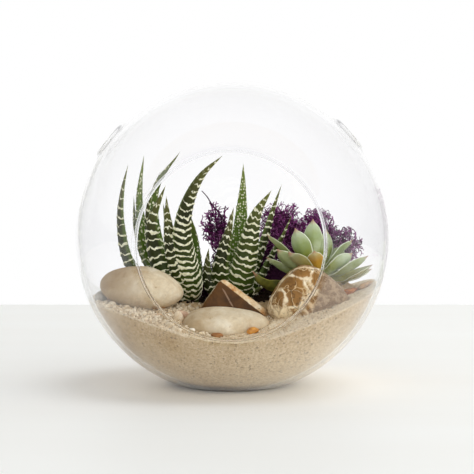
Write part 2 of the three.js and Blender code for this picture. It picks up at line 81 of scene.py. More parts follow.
# ---------- geometry helpers ----------


def lattice(points, seed=0):
    """Smooth repeatable noise from -1 to 1 at an (n, 3) array of points, one lump a unit."""
    points = np.asarray(points, float)
    cell = np.floor(points).astype(np.int64)
    part = points - cell
    part = part * part * (3 - 2 * part)
    total = np.zeros(len(points))
    for corner in np.ndindex(2, 2, 2):
        at = cell + corner
        key = at[:, 0] * 73856093 ^ at[:, 1] * 19349663 ^ at[:, 2] * 83492791 ^ seed * 26544357
        key = ((key ^ (key >> 13)) * 1274126177) & 0xFFFFFFFF
        key = (key ^ (key >> 15)) & 0xFFFF
        weight = np.prod(np.where(corner, part, 1 - part), axis=1)
        total += weight * (key / 32767.5 - 1)
    return total


def fractal(points, octaves=3, seed=0):
    points = np.asarray(points, float)
    return sum(lattice(points * 2**i + 7.3 * i, seed + i) / 2**i for i in range(octaves))


def smooth_step(low, high, value):
    part = np.clip((value - low) / (high - low), 0, 1)
    return part * part * (3 - 2 * part)


def unit(vectors):
    return vectors / np.maximum(1e-9, np.linalg.norm(vectors, axis=-1, keepdims=True))


def circle(count):
    """The cosines and the sines of evenly spaced angles."""
    angles = np.arange(count) * 2 * math.pi / count
    return np.cos(angles), np.sin(angles)


def turn_matrix(degrees):
    """A turn about X, then Y, then Z of the turned thing, as a matrix."""
    (ca, sa), (cb, sb), (cc, sc) = ((math.cos(a), math.sin(a)) for a in np.radians(degrees))
    about_x = np.array([[1, 0, 0], [0, ca, -sa], [0, sa, ca]])
    about_y = np.array([[cb, 0, sb], [0, 1, 0], [-sb, 0, cb]])
    about_z = np.array([[cc, -sc, 0], [sc, cc, 0], [0, 0, 1]])
    return about_x @ about_y @ about_z


def grid_faces(rows, columns, closed=True):
    """Quads of a grid of points, row by row, closed round each row or not."""
    across = columns if closed else columns - 1
    row, column = np.divmod(np.arange((rows - 1) * across), across)
    after = (column + 1) % columns
    start = row * columns
    return np.stack([start + column, start + after, start + columns + after, start + columns + column], 1)


def icosphere(subdivisions):
    shape = bmesh.new()
    bmesh.ops.create_icosphere(shape, subdivisions=subdivisions, radius=1)
    points = np.array([v.co for v in shape.verts])
    faces = np.array([[v.index for v in f.verts] for f in shape.faces])
    shape.free()
    return points, faces


class Gather:
    """The points, faces and per-point values of one mesh, added part by part."""

    def __init__(self):
        self.points, self.quads, self.triangles, self.values = [], [], [], {}
        self.count = 0

    def add(self, points, quads=None, triangles=None, **values):
        points = np.asarray(points, float).reshape(-1, 3)
        for kept, faces in ((self.quads, quads), (self.triangles, triangles)):
            if faces is not None:
                kept.append(np.asarray(faces) + self.count)
        for name, value in values.items():
            filled = np.broadcast_to(np.asarray(value, float), (len(points),))
            self.values.setdefault(name, []).append((self.count, filled))
        self.points.append(points)
        self.count += len(points)

    def add_closed(self, columns, points, **values):
        """Adds a grid of points, row by row, then the one that closes its last row and the one that
        closes its first."""
        rows = len(points) // columns
        column, base, last = np.arange(columns), (rows - 1) * columns, rows * columns
        after = (column + 1) % columns
        far = np.stack([base + column, base + after, np.full(columns, last)], 1)
        near = np.stack([after, column, np.full(columns, last + 1)], 1)
        self.add(points, grid_faces(rows, columns), np.concatenate([far, near]), **values)

    def mesh(self, name, closed=True):
        """The mesh, its faces turned outward where it is closed."""
        quads = np.concatenate(self.quads) if self.quads else np.zeros((0, 4), int)
        triangles = np.concatenate(self.triangles) if self.triangles else np.zeros((0, 3), int)
        corners = np.concatenate([quads.ravel(), triangles.ravel()])
        starts = np.concatenate([np.arange(len(quads)) * 4, len(quads) * 4 + np.arange(len(triangles)) * 3])
        made = bpy.data.meshes.new(name)
        made.vertices.add(self.count)
        made.vertices.foreach_set("co", to_frame(np.concatenate(self.points)).astype(np.float32).ravel())
        made.loops.add(len(corners))
        made.loops.foreach_set("vertex_index", corners.astype(np.int32))
        made.polygons.add(len(starts))
        made.polygons.foreach_set("loop_start", starts.astype(np.int32))
        made.update(calc_edges=True)
        for key, parts in self.values.items():
            whole = np.zeros(self.count, np.float32)
            for start, part in parts:
                whole[start : start + len(part)] = part
            made.attributes.new(key, "FLOAT", "POINT").data.foreach_set("value", whole)
        if closed:
            shape = bmesh.new()
            shape.from_mesh(made)
            bmesh.ops.recalc_face_normals(shape, faces=shape.faces)
            shape.to_mesh(made)
            shape.free()
        return made


def to_frame(points):
    """Millimetres from the globe's centre to metres in the part's frame."""
    return (np.asarray(points, float) + (0, 0, CENTRE_HEIGHT)) / 1000


def linked(name, data):
    """A new object in the scene."""
    made = bpy.data.objects.new(name, data)
    bpy.context.scene.collection.objects.link(made)
    return made


def show(mesh, material, node, slot, flat=False, crease=None):
    """Makes the mesh a piece that stands for a CAD node."""
    piece = linked(mesh.name, mesh)
    mesh.materials.append(material)
    if not flat:
        mesh.shade_smooth()
    if crease:
        mesh.set_sharp_from_angle(angle=math.radians(crease))
    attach(piece, "root")
    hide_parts(node)


# ---------- materials ----------


def tint(code):
    """A colour given as rrggbb, made linear."""
    parts = [int(code[i : i + 2], 16) / 255 for i in (0, 2, 4)]
    return tuple(c / 12.92 if c <= 0.04045 else ((c + 0.055) / 1.055) ** 2.4 for c in parts) + (1.0,)


class Tree:
    """A node tree, its nodes made by short calls."""

    def __init__(self, owner):
        owner.use_nodes = True
        self.owner, self.nodes, self.links = owner, owner.node_tree.nodes, owner.node_tree.links

    def set(self, socket, value):
        if isinstance(value, bpy.types.NodeSocket):
            self.links.new(value, socket)
        else:
            socket.default_value = tint(value) if isinstance(value, str) else value

    def node(self, kind, given=(), **settings):
        """The outputs of a new node. What is given goes into its sockets, in order or by name or number."""
        node = self.nodes.new("ShaderNode" + kind)
        for key, value in settings.items():
            setattr(node, key, value)
        for at, value in given.items() if isinstance(given, dict) else enumerate(given):
            self.set(node.inputs[at], value)
        return node.outputs

    def maths(self, operation, *given, clamp=True):
        return self.node("Math", given, operation=operation, use_clamp=clamp)[0]


class Look(Tree):
    """A procedural material. Sizes are in millimetres."""

    def __init__(self, name, **sockets):
        super().__init__(bpy.data.materials.new(name))
        self.shader = self.nodes["Principled BSDF"]
        for socket, value in sockets.items():
            self.set(self.shader.inputs[socket.replace("_", " ")], value)
        self.where = self.node("TexCoord")["Object"]

    def value(self, attribute):
        return self.node("Attribute", attribute_name=attribute)["Fac"]

    def placed(self, shift, scale=(1, 1, 1)):
        return self.node("Mapping", {"Vector": self.where, "Location": shift, "Scale": scale})[0]

    def noise(self, size, detail=2.0, roughness=0.5, warp=0.0, stretch=(1, 1, 1), seed=0.0):
        where = self.placed((seed, 0.7 * seed, -seed), stretch)
        given = {"Vector": where, "Scale": 1000 / size, "Detail": detail, "Roughness": roughness}
        return self.node("TexNoise", {**given, "Distortion": warp})[0]

    def cells(self, size, feature="F1", output="Distance", warp=0.0, warp_size=8.0, seed=0.0):
        """Cells of about that size, their walls bent by noise."""
        bend = self.node("TexNoise", {"Vector": self.where, "Scale": 1000 / warp_size})["Color"]
        shift = (bend, (warp / 1000,) * 3, self.placed((seed, -seed, 0.5 * seed)))
        where = self.node("VectorMath", shift, operation="MULTIPLY_ADD")[0]
        return self.node("TexVoronoi", {"Vector": where, "Scale": 1000 / size}, feature=feature)[output]

    def ramp(self, fac, *stops):
        node = self.nodes.new("ShaderNodeValToRGB")
        marks = node.color_ramp.elements
        while len(marks) < len(stops):
            marks.new(0.5)
        for mark, (position, colour) in zip(marks, stops):
            mark.position = position
            mark.color = tint(colour) if isinstance(colour, str) else (colour, colour, colour, 1)
        self.set(node.inputs[0], fac)
        return node.outputs[0]

    def mix(self, fac, a, b, mode="MIX"):
        return self.node("Mix", {0: fac, 6: a, 7: b}, data_type="RGBA", blend_type=mode)[2]

    def times(self, colour, other):
        return self.mix(1.0, colour, other, "MULTIPLY")

    def lay(self, under, over, *parts):
        """One colour laid over another, as strongly as the product of the parts."""
        fac = parts[-1]
        for part in parts[-2::-1]:
            fac = self.maths("MULTIPLY", part, fac)
        return self.mix(fac, under, over)

    def ragged(self, attribute, noise, depth):
        """A value of the points, moved up and down by noise."""
        return self.maths("ADD", self.value(attribute), self.maths("MULTIPLY_ADD", noise, 2 * depth, -depth))

    def done(self, colour, relief=None, depth=0.0, strength=1.0, rough=None):
        """The material, with this colour and with what else is given."""
        given = {"Base Color": colour}
        if relief is not None:
            bump = {"Strength": strength, "Distance": depth / 1000, "Height": relief}
            given["Normal"] = self.node("Bump", bump)[0]
        if rough is not None:
            given["Roughness"] = rough
        for name, value in given.items():
            self.set(self.shader.inputs[name], value)
        return self.owner


def glass_look():
    """Clear glass. Lamps and scattered light go straight through it, so that what it holds is lit, and so
    does the first glass that is met where the value `thin` is high."""
    hue = (0.99, 0.99, 0.997, 1)
    look = Look("clear_glass", Roughness=0.0, IOR=1.48, Transmission_Weight=1.0, Base_Color=hue)
    clear = look.node("BsdfTransparent", [(0.975, 0.975, 0.98, 1)])
    path = look.node("LightPath")
    first = look.maths("LESS_THAN", path["Transmission Depth"], 0.5)
    straight = path["Is Shadow Ray"]
    for other in (
        path["Is Diffuse Ray"],
        look.maths("GREATER_THAN", path["Ray Depth"], 9.5),
        look.maths("GREATER_THAN", path["Glossy Depth"], 1.5),
        look.maths("MULTIPLY", look.value("thin"), first),
    ):
        straight = look.maths("MAXIMUM", straight, other)
    mixed = look.node("MixShader", (straight, look.shader.outputs[0], clear[0]))
    look.set(look.nodes["Material Output"].inputs["Surface"], mixed[0])
    return look.owner


def sand_look():
    look = Look("fine_sand", Roughness=0.95, Specular_IOR_Level=0.2)
    broad = look.ramp(look.noise(22, 3), (0.3, "cdb48e"), (0.7, "e3d1b1"))
    fine = look.ramp(look.noise(1.35, 5, 0.8), (0.3, "8a6b46"), (0.5, "e3d0ae"), (0.68, "fff8e6"))
    dark = look.ramp(look.cells(0.95, output="Color"), (0.1, 1.0), (0.14, 0.0))
    brown = look.ramp(look.noise(2.0, 4, 0.75, seed=3.0), (0.61, 0.0), (0.67, 1.0))
    clouds = look.ramp(look.noise(14, 3, 0.6, seed=6.0), (0.35, 0.65), (0.7, 1.0))
    body = look.lay(look.mix(0.7, broad, fine), "5a412b", dark, 0.6)
    body = look.lay(body, "735638", brown, 0.6)
    # painted shade on the sand by the glass, broken into clouds
    body = look.lay(body, look.times(body, "c9b89c"), look.value("damp"), clouds)
    # painted contact shadow along the sand's foot
    body = look.lay(body, look.times(body, "5c4630"), look.value("foot"))
    return look.done(body, look.noise(0.8, 3, 0.7), 0.35, 0.8)


def grain_look():
    look = Look("sand_grains", Roughness=0.85)
    colours = ((0.0, "7d6444"), (0.1, "b99a6c"), (0.3, "d8c4a0"), (0.7, "ebdec4"), (0.93, "dfc9a2"))
    colour = look.ramp(look.value("tone"), *colours, (0.97, "c79c6c"), (1.0, "f6f0e0"))
    mottle = look.ramp(look.noise(0.6, 3), (0.3, "a98d68"), (0.7, "f6eedd"))
    return look.done(look.mix(0.25, colour, mottle), look.noise(0.5, 2), 0.15, 0.6)


def soil_look():
    look = Look("potting_soil", Roughness=1.0, Specular_IOR_Level=0.1)
    dark = look.ramp(look.noise(1.6, 4, 0.7), (0.3, "120d09"), (0.6, "2c2018"), (0.8, "49382a"))
    sandy = look.ramp(look.noise(1.2, 4, 0.7), (0.3, "a98a62"), (0.6, "cfb58e"), (0.8, "e2cdac"))
    ground = look.lay(dark, sandy, look.value("sandy"))
    return look.done(look.lay(ground, "e9e4da", look.value("tone")), look.noise(1.0, 4, 0.7), 0.6, 0.9)


def stone_look(name, mottle, patch_colour, speck, veins, shine):
    """Water-worn stone: mottled ground colours, a second colour where the value `patch` is high (stains on
    the cream stones), and specks.
    """
    look = Look(name, Roughness=shine, Specular_IOR_Level=0.25)
    ground = look.ramp(look.noise(9, 5, 0.62, 0.4), *mottle)
    fine = look.ramp(look.noise(1.6, 4, 0.65), (0.3, 0.84), (0.7, 1.1))
    ground = veins(look, look.mix(0.55, ground, look.times(ground, fine)))
    patch = look.ramp(look.ragged("patch", look.noise(5, 4, 0.6), 0.55), (0.42, 0.0), (0.72, 1.0))
    ground = look.lay(ground, patch_colour(look) if callable(patch_colour) else patch_colour, patch)
    dots = look.ramp(look.noise(2.2, 2, 0.5, seed=5.0), (0.70, 0.0), (0.74, 1.0))
    rough = look.ramp(look.noise(6, 3), (0.3, shine - 0.08), (0.7, shine + 0.12))
    return look.done(look.lay(ground, speck, dots, 0.45), look.noise(1.3, 4, 0.6), 0.12, 0.6, rough)


def marble_veins(look, ground):
    """A broken net of cream veins, wide and thin, and dark cracks between brown cells."""
    walls = "DISTANCE_TO_EDGE"
    broken = look.ramp(look.noise(8, 3, 0.6, seed=1.0), (0.36, 0.0), (0.5, 1.0))
    wall = look.cells(15, walls, warp=10, warp_size=10)
    wall = look.maths("MULTIPLY_ADD", look.noise(2.2, 4, 0.7), 0.16, wall)
    wide, halo = look.ramp(wall, (0.105, 1.0), (0.15, 0.0)), look.ramp(wall, (0.12, 1.0), (0.22, 0.0))
    thin = look.ramp(look.cells(8, walls, warp=9, warp_size=7, seed=2.0), (0.012, 1.0), (0.04, 0.0))
    crack = look.ramp(look.cells(15, walls, warp=14, warp_size=7, seed=7.0), (0.0, 1.0), (0.022, 0.0))
    cream = look.ramp(look.noise(4, 3), (0.3, "cfb184"), (0.7, "f3e8cc"))
    ground = look.lay(ground, "b58d57", halo, 0.4)
    ground = look.lay(ground, "d8be90", thin, broken, 0.7)
    ground = look.lay(ground, cream, wide, look.maths("ADD", broken, 0.45))
    ground = look.lay(ground, "3a2815", crack, 0.7)
    pale = look.ramp(look.ragged("vein", look.noise(2.6, 5, 0.75), 1.0), (0.42, 0.0), (0.6, 0.85))
    return look.lay(ground, "ecdcb8", pale)


def painted_left_shade(look, ground):
    """Painted shade: a cream stone's left end coloured browner and darker, away from the light."""
    return look.lay(ground, look.times(ground, "bda98c"), look.value("vein"))


def diagonal_vein(look, ground):
    """A brown stone's thin pale vein and faint layers."""
    layers = look.ramp(look.noise(7, 5, 0.6, 0.5), (0.3, "38230d"), (0.55, "573714"), (0.75, "774e22"))
    vein = look.ramp(look.value("vein"), (0.35, 0.0), (0.75, 1.0))
    return look.lay(look.mix(0.7, ground, layers), "a98a70", vein, 0.6)


def haworthia_look():
    look = Look("banded_leaf", Roughness=0.42, Specular_IOR_Level=0.22)
    along, band = look.value("along"), look.value("band")
    back = look.ramp(look.noise(7, 3), (0.25, "1b1f05"), (0.55, "2b300a"), (0.8, "424614"))
    back = look.lay(back, "354710", look.ramp(along, (0.2, 0.75), (0.5, 0.0)))
    face = look.ramp(look.noise(5, 3), (0.25, "33480f"), (0.6, "4e681c"), (0.8, "6c842b"))
    leaf = look.lay(back, face, look.value("inner"))
    leaf = look.lay(leaf, "75743a", look.ramp(along, (0.6, 0.0), (0.93, 0.55), (1.0, 0.85)))
    leaf = look.lay(leaf, look.mix(0.5, leaf, "7d9c3a"), look.value("tone"))
    leaf = look.lay(leaf, "6c8538", look.value("edge"), 0.45)
    white = look.ramp(look.noise(1.5, 2), (0.3, "cbc9a2"), (0.7, "f3f2dc"))
    leaf = look.lay(leaf, white, look.ramp(band, (0.44, 0.0), (0.57, 1.0)))
    return look.done(leaf, look.noise(0.7, 3), 0.08, 0.5, look.ramp(band, (0.4, 0.45), (0.6, 0.75)))


def echeveria_look():
    look = Look("pale_leaf", Roughness=0.5, Specular_IOR_Level=0.3)
    along, edge, warm, tone, shade = map(look.value, ("along", "edge", "warm", "tone", "shade"))
    leaf = look.ramp(along, (0.2, "84881a"), (0.45, "8f9c3c"), (0.72, "a4b684"), (0.93, "c5d1ae"))
    leaf = look.lay(leaf, "a0ad48", look.ramp(look.noise(5, 4, 0.6), (0.4, 0.0), (0.75, 0.7)))
    leaf = look.lay(leaf, "ccd9bd", look.ramp(look.noise(9, 3, 0.5, seed=4.0), (0.45, 0.0), (0.7, 0.7)))
    leaf = look.lay(leaf, look.times(leaf, "9fa36a"), shade, 0.55)
    leaf = look.lay(leaf, look.ramp(look.noise(6, 3), (0.3, "46481a"), (0.7, "74752f")), tone)
    hot = look.maths("MULTIPLY_ADD", look.noise(4, 2), 0.3, look.maths("MULTIPLY", along, 0.8))
    hot = look.ramp(hot, (0.25, "a89c30"), (0.5, "cfa63c"), (0.9, "cf9444"))
    leaf = look.lay(leaf, hot, warm, look.ramp(along, (0.68, 1.0), (0.95, 0.25)))
    pale = look.mix(tone, "e6ecd8", "9c994c")
    leaf = look.lay(leaf, pale, look.ramp(edge, (0.62, 0.0), (0.97, 0.9)))
    leaf = look.lay(leaf, "b9806e", look.ramp(along, (0.9, 0.0), (0.985, 0.85)))
    return look.done(leaf, look.noise(1.2, 3), 0.06, 0.4)


def moss_look():
    look = Look("dyed_moss", Roughness=0.85, Specular_IOR_Level=0.25)
    outer = look.ramp(look.value("tone"), (0.0, "421438"), (0.35, "702463"), (0.7, "934188"), (1.0, "c083b6"))
    # painted shade: near-black purple where the tuft's own twigs would shade it, deep inside, on low tufts
    # and on the stalks
    return look.done(look.lay(outer, "2a0d22", look.value("deep")))


def bark_look(name, low, high):
    look = Look(name, Roughness=0.9)
    fibres = look.noise(2.4, 5, 0.65, 0.3, stretch=(0.35, 1, 1))
    ridges = look.noise(1.4, 4, 0.7, stretch=(0.3, 1, 1))
    return look.done(look.ramp(fibres, (0.3, low), (0.7, high)), ridges, 0.5, 0.9)


def pebble_look(name, low, high, shine):
    look = Look(name, Roughness=shine)
    colour = look.ramp(look.noise(2.2, 4, 0.6), (0.3, low), (0.7, high))
    return look.done(colour, look.noise(0.8, 3), 0.15, 0.5)


# ---------- the ground ----------


def sand_height(x, y):
    out = np.abs(x) / 80
    side = np.where(x < 0, 5 * out**2, 12 * out**3)
    ahead = np.maximum(0, (-5 - y) / 66.4) * np.exp(-((x / 47) ** 2))
    behind = np.maximum(0, y / 80) ** 2
    return SAND_LEVEL + side - 13.5 * ahead - 5 * behind


def off_centre(*place, grown=0.0):
    """How far out a place lies in the soil's bowl, squared: 1 at its wall. Without z, as seen from above."""
    return sum(((p - c) / (h + grown)) ** 2 for p, c, h in zip(place, SOIL_CENTRE, SOIL_HALF))


def soil_height(x, y):
    across, along = (x - 42) / 26, (y - 15) / 18
    lumps = 0.5 * np.sin(x / 3.1) * np.cos(y / 2.7)
    edge = off_centre(x, y)
    mound = 9 * np.exp(-across * across - along * along) * smooth_step(0.99, 0.8, edge)
    return sand_height(x, y) + 1.2 * smooth_step(1.0, 0.9, edge) + lumps + mound


def bed_height(x, y):
    """The sand's top, which dips under the soil's bed."""
    across = off_centre(x, y, grown=GAP)
    bowl = SOIL_CENTRE[2] - (SOIL_HALF[2] + GAP) * np.sqrt(np.maximum(0, 1 - across))
    height = sand_height(x, y)
    return np.where(across < 1, np.minimum(height, bowl), height)


def on_sand(x, y, lift):
    return (x, y, float(sand_height(np.array(x), np.array(y))) + lift)


# ---------- stones ----------

STONES = {
    "stone_left": dict(
        at=(-50.5, -21, -27.4), half=(24, 16, 12.8), turn=(0, 9, -8), edge=6, wave=0.025, phase=1,
        flats=[((0.6, 0, -1), 16)],
    ),
    "stone_front": dict(
        at=(-5, -46, -43.6), half=(26, 13, 8.2), turn=(20, 5, 9), phase=2.4,
        flats=[((0, 0.1, 1), 7), ((-0.7, 0, 0.7), 16)],
    ),
    "stone_brown": dict(
        at=(0.5, -22, -35), half=(23, 11, 20), turn=(-6, 0, 4), edge=7, wave=0.015, phase=0.6,
        flats=[((0.59, 0, 0.8), 8.2), ((-0.84, 0, 0.55), 14), ((0, -1, 0.12), 8), ((0, 0.7, 0.7), 10)],
    ),
    "stone_veined": dict(
        at=(42, -25, -31.5), half=(25.5, 14.5, 19), turn=(-5, 0, 12), edge=8, wave=0.02, phase=3.1,
        flats=[((-0.82, 0, 0.57), 17), ((0.67, 0, 0.74), 17.5), ((0, -1, 0.3), 12.5)],
    ),
}
PEBBLES = {
    "pebble_cream": dict(at=on_sand(-29.5, -45, 2), half=(2.5, 2.4, 3.8), turn=(0, -8, 0), phase=1),
    "pebble_pink": dict(at=on_sand(-28, -34, 1.2), half=(4.4, 3, 2.4), turn=(0, 12, 20), phase=2),
    "pebble_round": dict(at=on_sand(-35.5, -43, 1), half=(2.2, 2.1, 2), phase=3),
    "pebble_white": dict(at=on_sand(-22, -60.5, 0.6), half=(2.2, 1.9, 1.6), turn=(0, 0, 30), phase=3),
    "pebble_grey": dict(at=on_sand(-74.5, -15, 1.6), half=(3.4, 4.4, 3.6), turn=(0, 20, 0), phase=4),
    "chip_amber": dict(
        at=on_sand(11.4, -56, 1.2), half=(3.6, 2.2, 2), turn=(0, -18, 12), phase=5, flats=[((1, 0, 1), 2.2)]
    ),
    "chip_brown": dict(
        at=on_sand(-8.2, -61.5, 0.6), half=(3.4, 1.9, 1.6), turn=(0, 4, 0), flats=[((0, -1, 1), 1.5)]
    ),
    "bark_near": dict(
        at=on_sand(66.5, -9, 1.2), half=(6, 2.8, 1.9), turn=(0, -18, 12), phase=2,
        flats=[((0, 0, 1), 1.6), ((1, 0, 0.4), 5)],
    ),
    "bark_far": dict(
        at=on_sand(76, -6.5, 1), half=(5, 2.4, 1.7), turn=(0, -28, -10), phase=3,
        flats=[((0, 0, 1), 1.4), ((-1, 0, 0.4), 4)],
    ),
}
PEBBLE_COLOURS = {  # slot, darker and lighter colour, and roughness
    "pebble_cream": ("cream_stone", "c9b08c", "e9ddc6", 0.6),
    "pebble_pink": ("cream_stone", "b48a6e", "dcc0a4", 0.6),
    "pebble_round": ("cream_stone", "d2c0a0", "f0e7d6", 0.6),
    "pebble_white": ("cream_stone", "dccfb4", "f6f0e3", 0.6),
    "pebble_grey": ("grey_stone", "8f877b", "bdb6aa", 0.7),
    "chip_amber": ("amber_chip", "a8621c", "e0a24a", 0.5),
    "chip_brown": ("brown_chip", "6b3f1e", "b07a45", 0.6),
}


def stone_points(directions, at, half, turn=(0, 0, 0), flats=(), edge=9, wave=0.03, phase=0, rough=0.12):
    """A worn stone's surface: an ellipsoid against flats, with a soft minimum of their distances. Also
    gives the points before the stone is turned and placed."""
    x, y, z = directions.T
    total = np.linalg.norm(directions / np.array(half), axis=1) ** edge
    for normal, distance in flats:
        total += np.maximum(0, directions @ unit(np.array(normal, float)) / distance) ** edge
    ripple = np.sin(3 * x + phase) * np.cos(4 * y - phase) + np.sin(5 * z + 2 * phase) / 2
    radius = total ** (-1 / edge) * (1 + wave * ripple)
    local = directions * radius[:, None]
    radius = radius + rough * fractal(local / 3.2, 3, int(phase * 10))
    return (directions * radius[:, None]) @ turn_matrix(turn).T + np.array(at), local


# ---------- the pieces ----------


def turned(name, profile, sides):
    """A mesh turned about Y from (radius, y) pairs: a closed loop, or a line with both ends on the axis."""
    cos, sin = circle(sides)
    ring = np.stack([cos, np.zeros(sides), sin], 1)
    off_axis = [p for p in profile if p[0] > 1e-6]
    points = np.concatenate([ring * r + (0, y, 0) for r, y in off_axis])
    gather = Gather()
    if len(off_axis) == len(profile):
        gather.add(points, grid_faces(len(off_axis) + 1, sides) % len(points))
    else:
        gather.add_closed(sides, np.concatenate([points, [[0, profile[-1][1], 0], [0, profile[0][1], 0]]]))
    return gather.mesh(name)


def arc_points(radius, plane, steps):
    """A sphere's outline from its back pole to the opening's plane, as (radius, y) pairs."""
    ahead = math.acos(-plane / radius)
    return [(radius * math.sin(a), radius * math.cos(a)) for a in np.linspace(0, ahead, steps + 1)]


def rounded(points, steps=4):
    """A closed smooth loop through the points."""
    p = np.array(points, float)
    before, after, beyond = np.roll(p, 1, 0), np.roll(p, -1, 0), np.roll(p, -2, 0)
    bend = 2 * before - 5 * p + 4 * after - beyond
    twist = 3 * p - before - 3 * after + beyond
    return [
        0.5 * (2 * p[i] + (after[i] - before[i]) * t + bend[i] * t**2 + twist[i] * t**3)
        for i in range(len(p)) for t in np.arange(steps) / steps
    ]


def corners_of(mesh):
    flat = np.empty(len(mesh.vertices) * 3, np.float32)
    mesh.vertices.foreach_get("co", flat)
    return flat.reshape(-1, 3)


def moved(mesh, matrix):
    """Turns a mesh about the globe's centre by a 3 by 3 matrix."""
    centre = to_frame([0, 0, 0])
    turned_points = (corners_of(mesh) - centre) @ matrix.T + centre
    mesh.vertices.foreach_set("co", turned_points.astype(np.float32).ravel())
    mesh.update()
    return mesh


def combine(mesh, other, operation):
    """One mesh from two, by an exact boolean."""
    holders = [linked("a", mesh), linked("b", other)]
    step = holders[0].modifiers.new("step", "BOOLEAN")
    step.operation, step.solver, step.object = operation, "EXACT", holders[1]
    ready = holders[0].evaluated_get(bpy.context.evaluated_depsgraph_get())
    made = bpy.data.meshes.new_from_object(ready)
    made.name = mesh.name
    for holder in holders:
        bpy.data.objects.remove(holder)
    return made


def opening_rim(outer_r, inner_r):
    """The rim's profile, from the outer wall over the shoulder and the lip to the inner wall."""
    slope, across = outer_r / (OPENING_PLANE - SHOULDER), outer_r - LIP_R
    ease = (slope - SHOULDER / across) / across
    rim = [
        (outer_r - u, -OPENING_PLANE + SHOULDER - slope * u + ease * u * u) for u in np.linspace(0, across, 9)
    ]
    rim += [(LIP_R - 0.08, -OPENING_PLANE + 0.05), (LIP_R - 0.22, -OPENING_PLANE + 0.2)]
    rim.append((LIP_R - 0.4, LIP_FACE))
    lip_deep = -LIP_FACE - (OPENING_PLANE - RIM_ROUND)
    for degrees in range(90, -1, -15):
        a = math.radians(degrees)
        rim.append((inner_r + LIP_WIDE * (1 - math.cos(a)), LIP_FACE + lip_deep * (1 - math.sin(a))))
    return rim


def thin_glass(points):
    """How much of the light goes straight through the glass at points of the unturned globe: at its
    shoulder, at its lip's face, and at the inner wall behind them."""
    out, ahead = np.hypot(points[:, 0], points[:, 2]), -points[:, 1]
    away = np.hypot(out, ahead)
    shoulder = (away > INNER_R + 1) & (ahead > OPENING_PLANE - SHOULDER - 0.05) & (out > LIP_R - 0.02)
    face = (np.abs(ahead + LIP_FACE) < 0.02) & (out < LIP_R - 0.3)
    behind = (away < INNER_R + 0.05) & (ahead > 60) & (ahead < OPENING_PLANE - RIM_ROUND - 0.1)
    return np.select([behind, shoulder, face], [1.0, SHOULDER_CLEAR, RIM_CLEAR], 0.0)


def glass_globe():
    """The blown shell, with a pad of glass under the sand, a flat foot, and a lipped vent at either side."""
    sides, steps = 240, 128
    upright = turn_matrix((90, 0, 0))
    outer_wall = arc_points(GLOBE_R, OPENING_PLANE - SHOULDER, steps)
    inner_wall = arc_points(INNER_R, OPENING_PLANE - RIM_ROUND, steps)
    rim = opening_rim(outer_wall[-1][0], inner_wall[-1][0])
    aim = turn_matrix((0, 0, -OPENING_TURN)) @ turn_matrix((-OPENING_TILT, 0, 0))
    shell = moved(turned("shell", outer_wall[:-1] + rim + inner_wall[-2::-1], sides), aim)
    pad_r = (GLOBE_R + INNER_R) / 2
    top = FOOT_GLASS - CENTRE_HEIGHT
    pad_edge = math.sqrt(pad_r**2 - top**2)
    pad_arc = np.linspace(0, math.asin(pad_edge / pad_r), 14)
    pad_line = [(pad_r * math.sin(a), -pad_r * math.cos(a)) for a in pad_arc] + [(0.0, top)]
    pad = moved(turned("pad", pad_line, sides), upright)
    below_line = [(0, -CENTRE_HEIGHT), (60, -CENTRE_HEIGHT), (60, -BEYOND), (0, -BEYOND)]
    below = moved(turned("below", below_line, 48), upright)
    globe = combine(combine(shell, pad, "UNION"), below, "DIFFERENCE")

    def high(r):
        return math.sqrt(GLOBE_R**2 - r**2)

    def low(r):
        return math.sqrt(INNER_R**2 - r**2)

    lip = rounded([
        (9.15, low(9) + 0.35), (9.0, high(9) - 0.9), (9.1, high(9) + 0.6), (9.7, high(9) + 1.45),
        (10.6, high(9) + 1.68), (11.4, high(9) + 1.2), (12.0, high(12) + 0.75), (13.0, high(13) + 0.3),
        (14.4, high(14.4) - 0.08), (13.2, high(13.2) - 1.2), (10.4, low(10.4) + 0.5),
    ])
    bore_line = [(0, 60), (VENT_R + 0.4, 60), (VENT_R + 0.4, BEYOND), (0, BEYOND)]
    for side, rise in VENTS:
        lean = turn_matrix((0, side * (90 - rise), 0)) @ upright
        globe = combine(globe, moved(turned("bore", bore_line, VENT_SIDES), lean), "DIFFERENCE")
        globe = combine(globe, moved(turned("lip", lip, VENT_SIDES), lean), "UNION")
    globe.name = "globe_of_glass"
    points = (1000 * corners_of(globe) - (0, 0, CENTRE_HEIGHT)) @ aim
    thin = globe.attributes.new("thin", "FLOAT", "POINT")
    thin.data.foreach_set("value", thin_glass(points).astype(np.float32))
    show(globe, glass_look(), "glass_globe", "clear_glass", crease=38)


def stone_trees(shapes):
    """For each stone, a tree of its surface for rays and nearest points."""
    trees = {}
    directions, faces = icosphere(4)
    for name, shape in shapes.items():
        points, _ = stone_points(directions, **shape)
        trees[name] = BVHTree.FromPolygons(points.tolist(), faces.tolist())
    return trees


def lowered(points, trees, gap=0.15):
    """The points' heights, pushed down to just under each stone that stands in their way."""
    out = points[:, 2].copy()
    for name, tree in trees.items():
        shape = {**STONES, **PEBBLES}[name]
        reach = max(shape["half"]) + 1
        near = np.hypot(points[:, 0] - shape["at"][0], points[:, 1] - shape["at"][1]) < reach
        for i in np.nonzero(near)[0]:
            hit = tree.ray_cast(Vector((*points[i, :2], -120)), Vector((0, 0, 1)))[0]
            if hit is not None:
                out[i] = min(out[i], hit.z - gap)
    return out


def bowl_top(height, centre, half, rings, sectors, spacing=1.0):
    """A surface of the given height, ring by ring, out to the wall of an ellipsoid bowl."""
    reach = half[:2, None] * circle(sectors)
    low, high = np.zeros(sectors), np.ones(sectors)
    for _ in range(40):
        middle = (low + high) / 2
        rise = (height(*(centre[:2, None] + reach * middle)) - centre[2]) / half[2]
        within = middle**2 + rise**2 < 1
        low, high = np.where(within, middle, low), np.where(within, high, middle)
    share = np.linspace(1 / rings, 1, rings)[:, None] ** spacing * low
    x, y = ((centre[i] + share * reach[i]).ravel() for i in (0, 1))
    return np.stack([x, y, height(x, y)], 1)


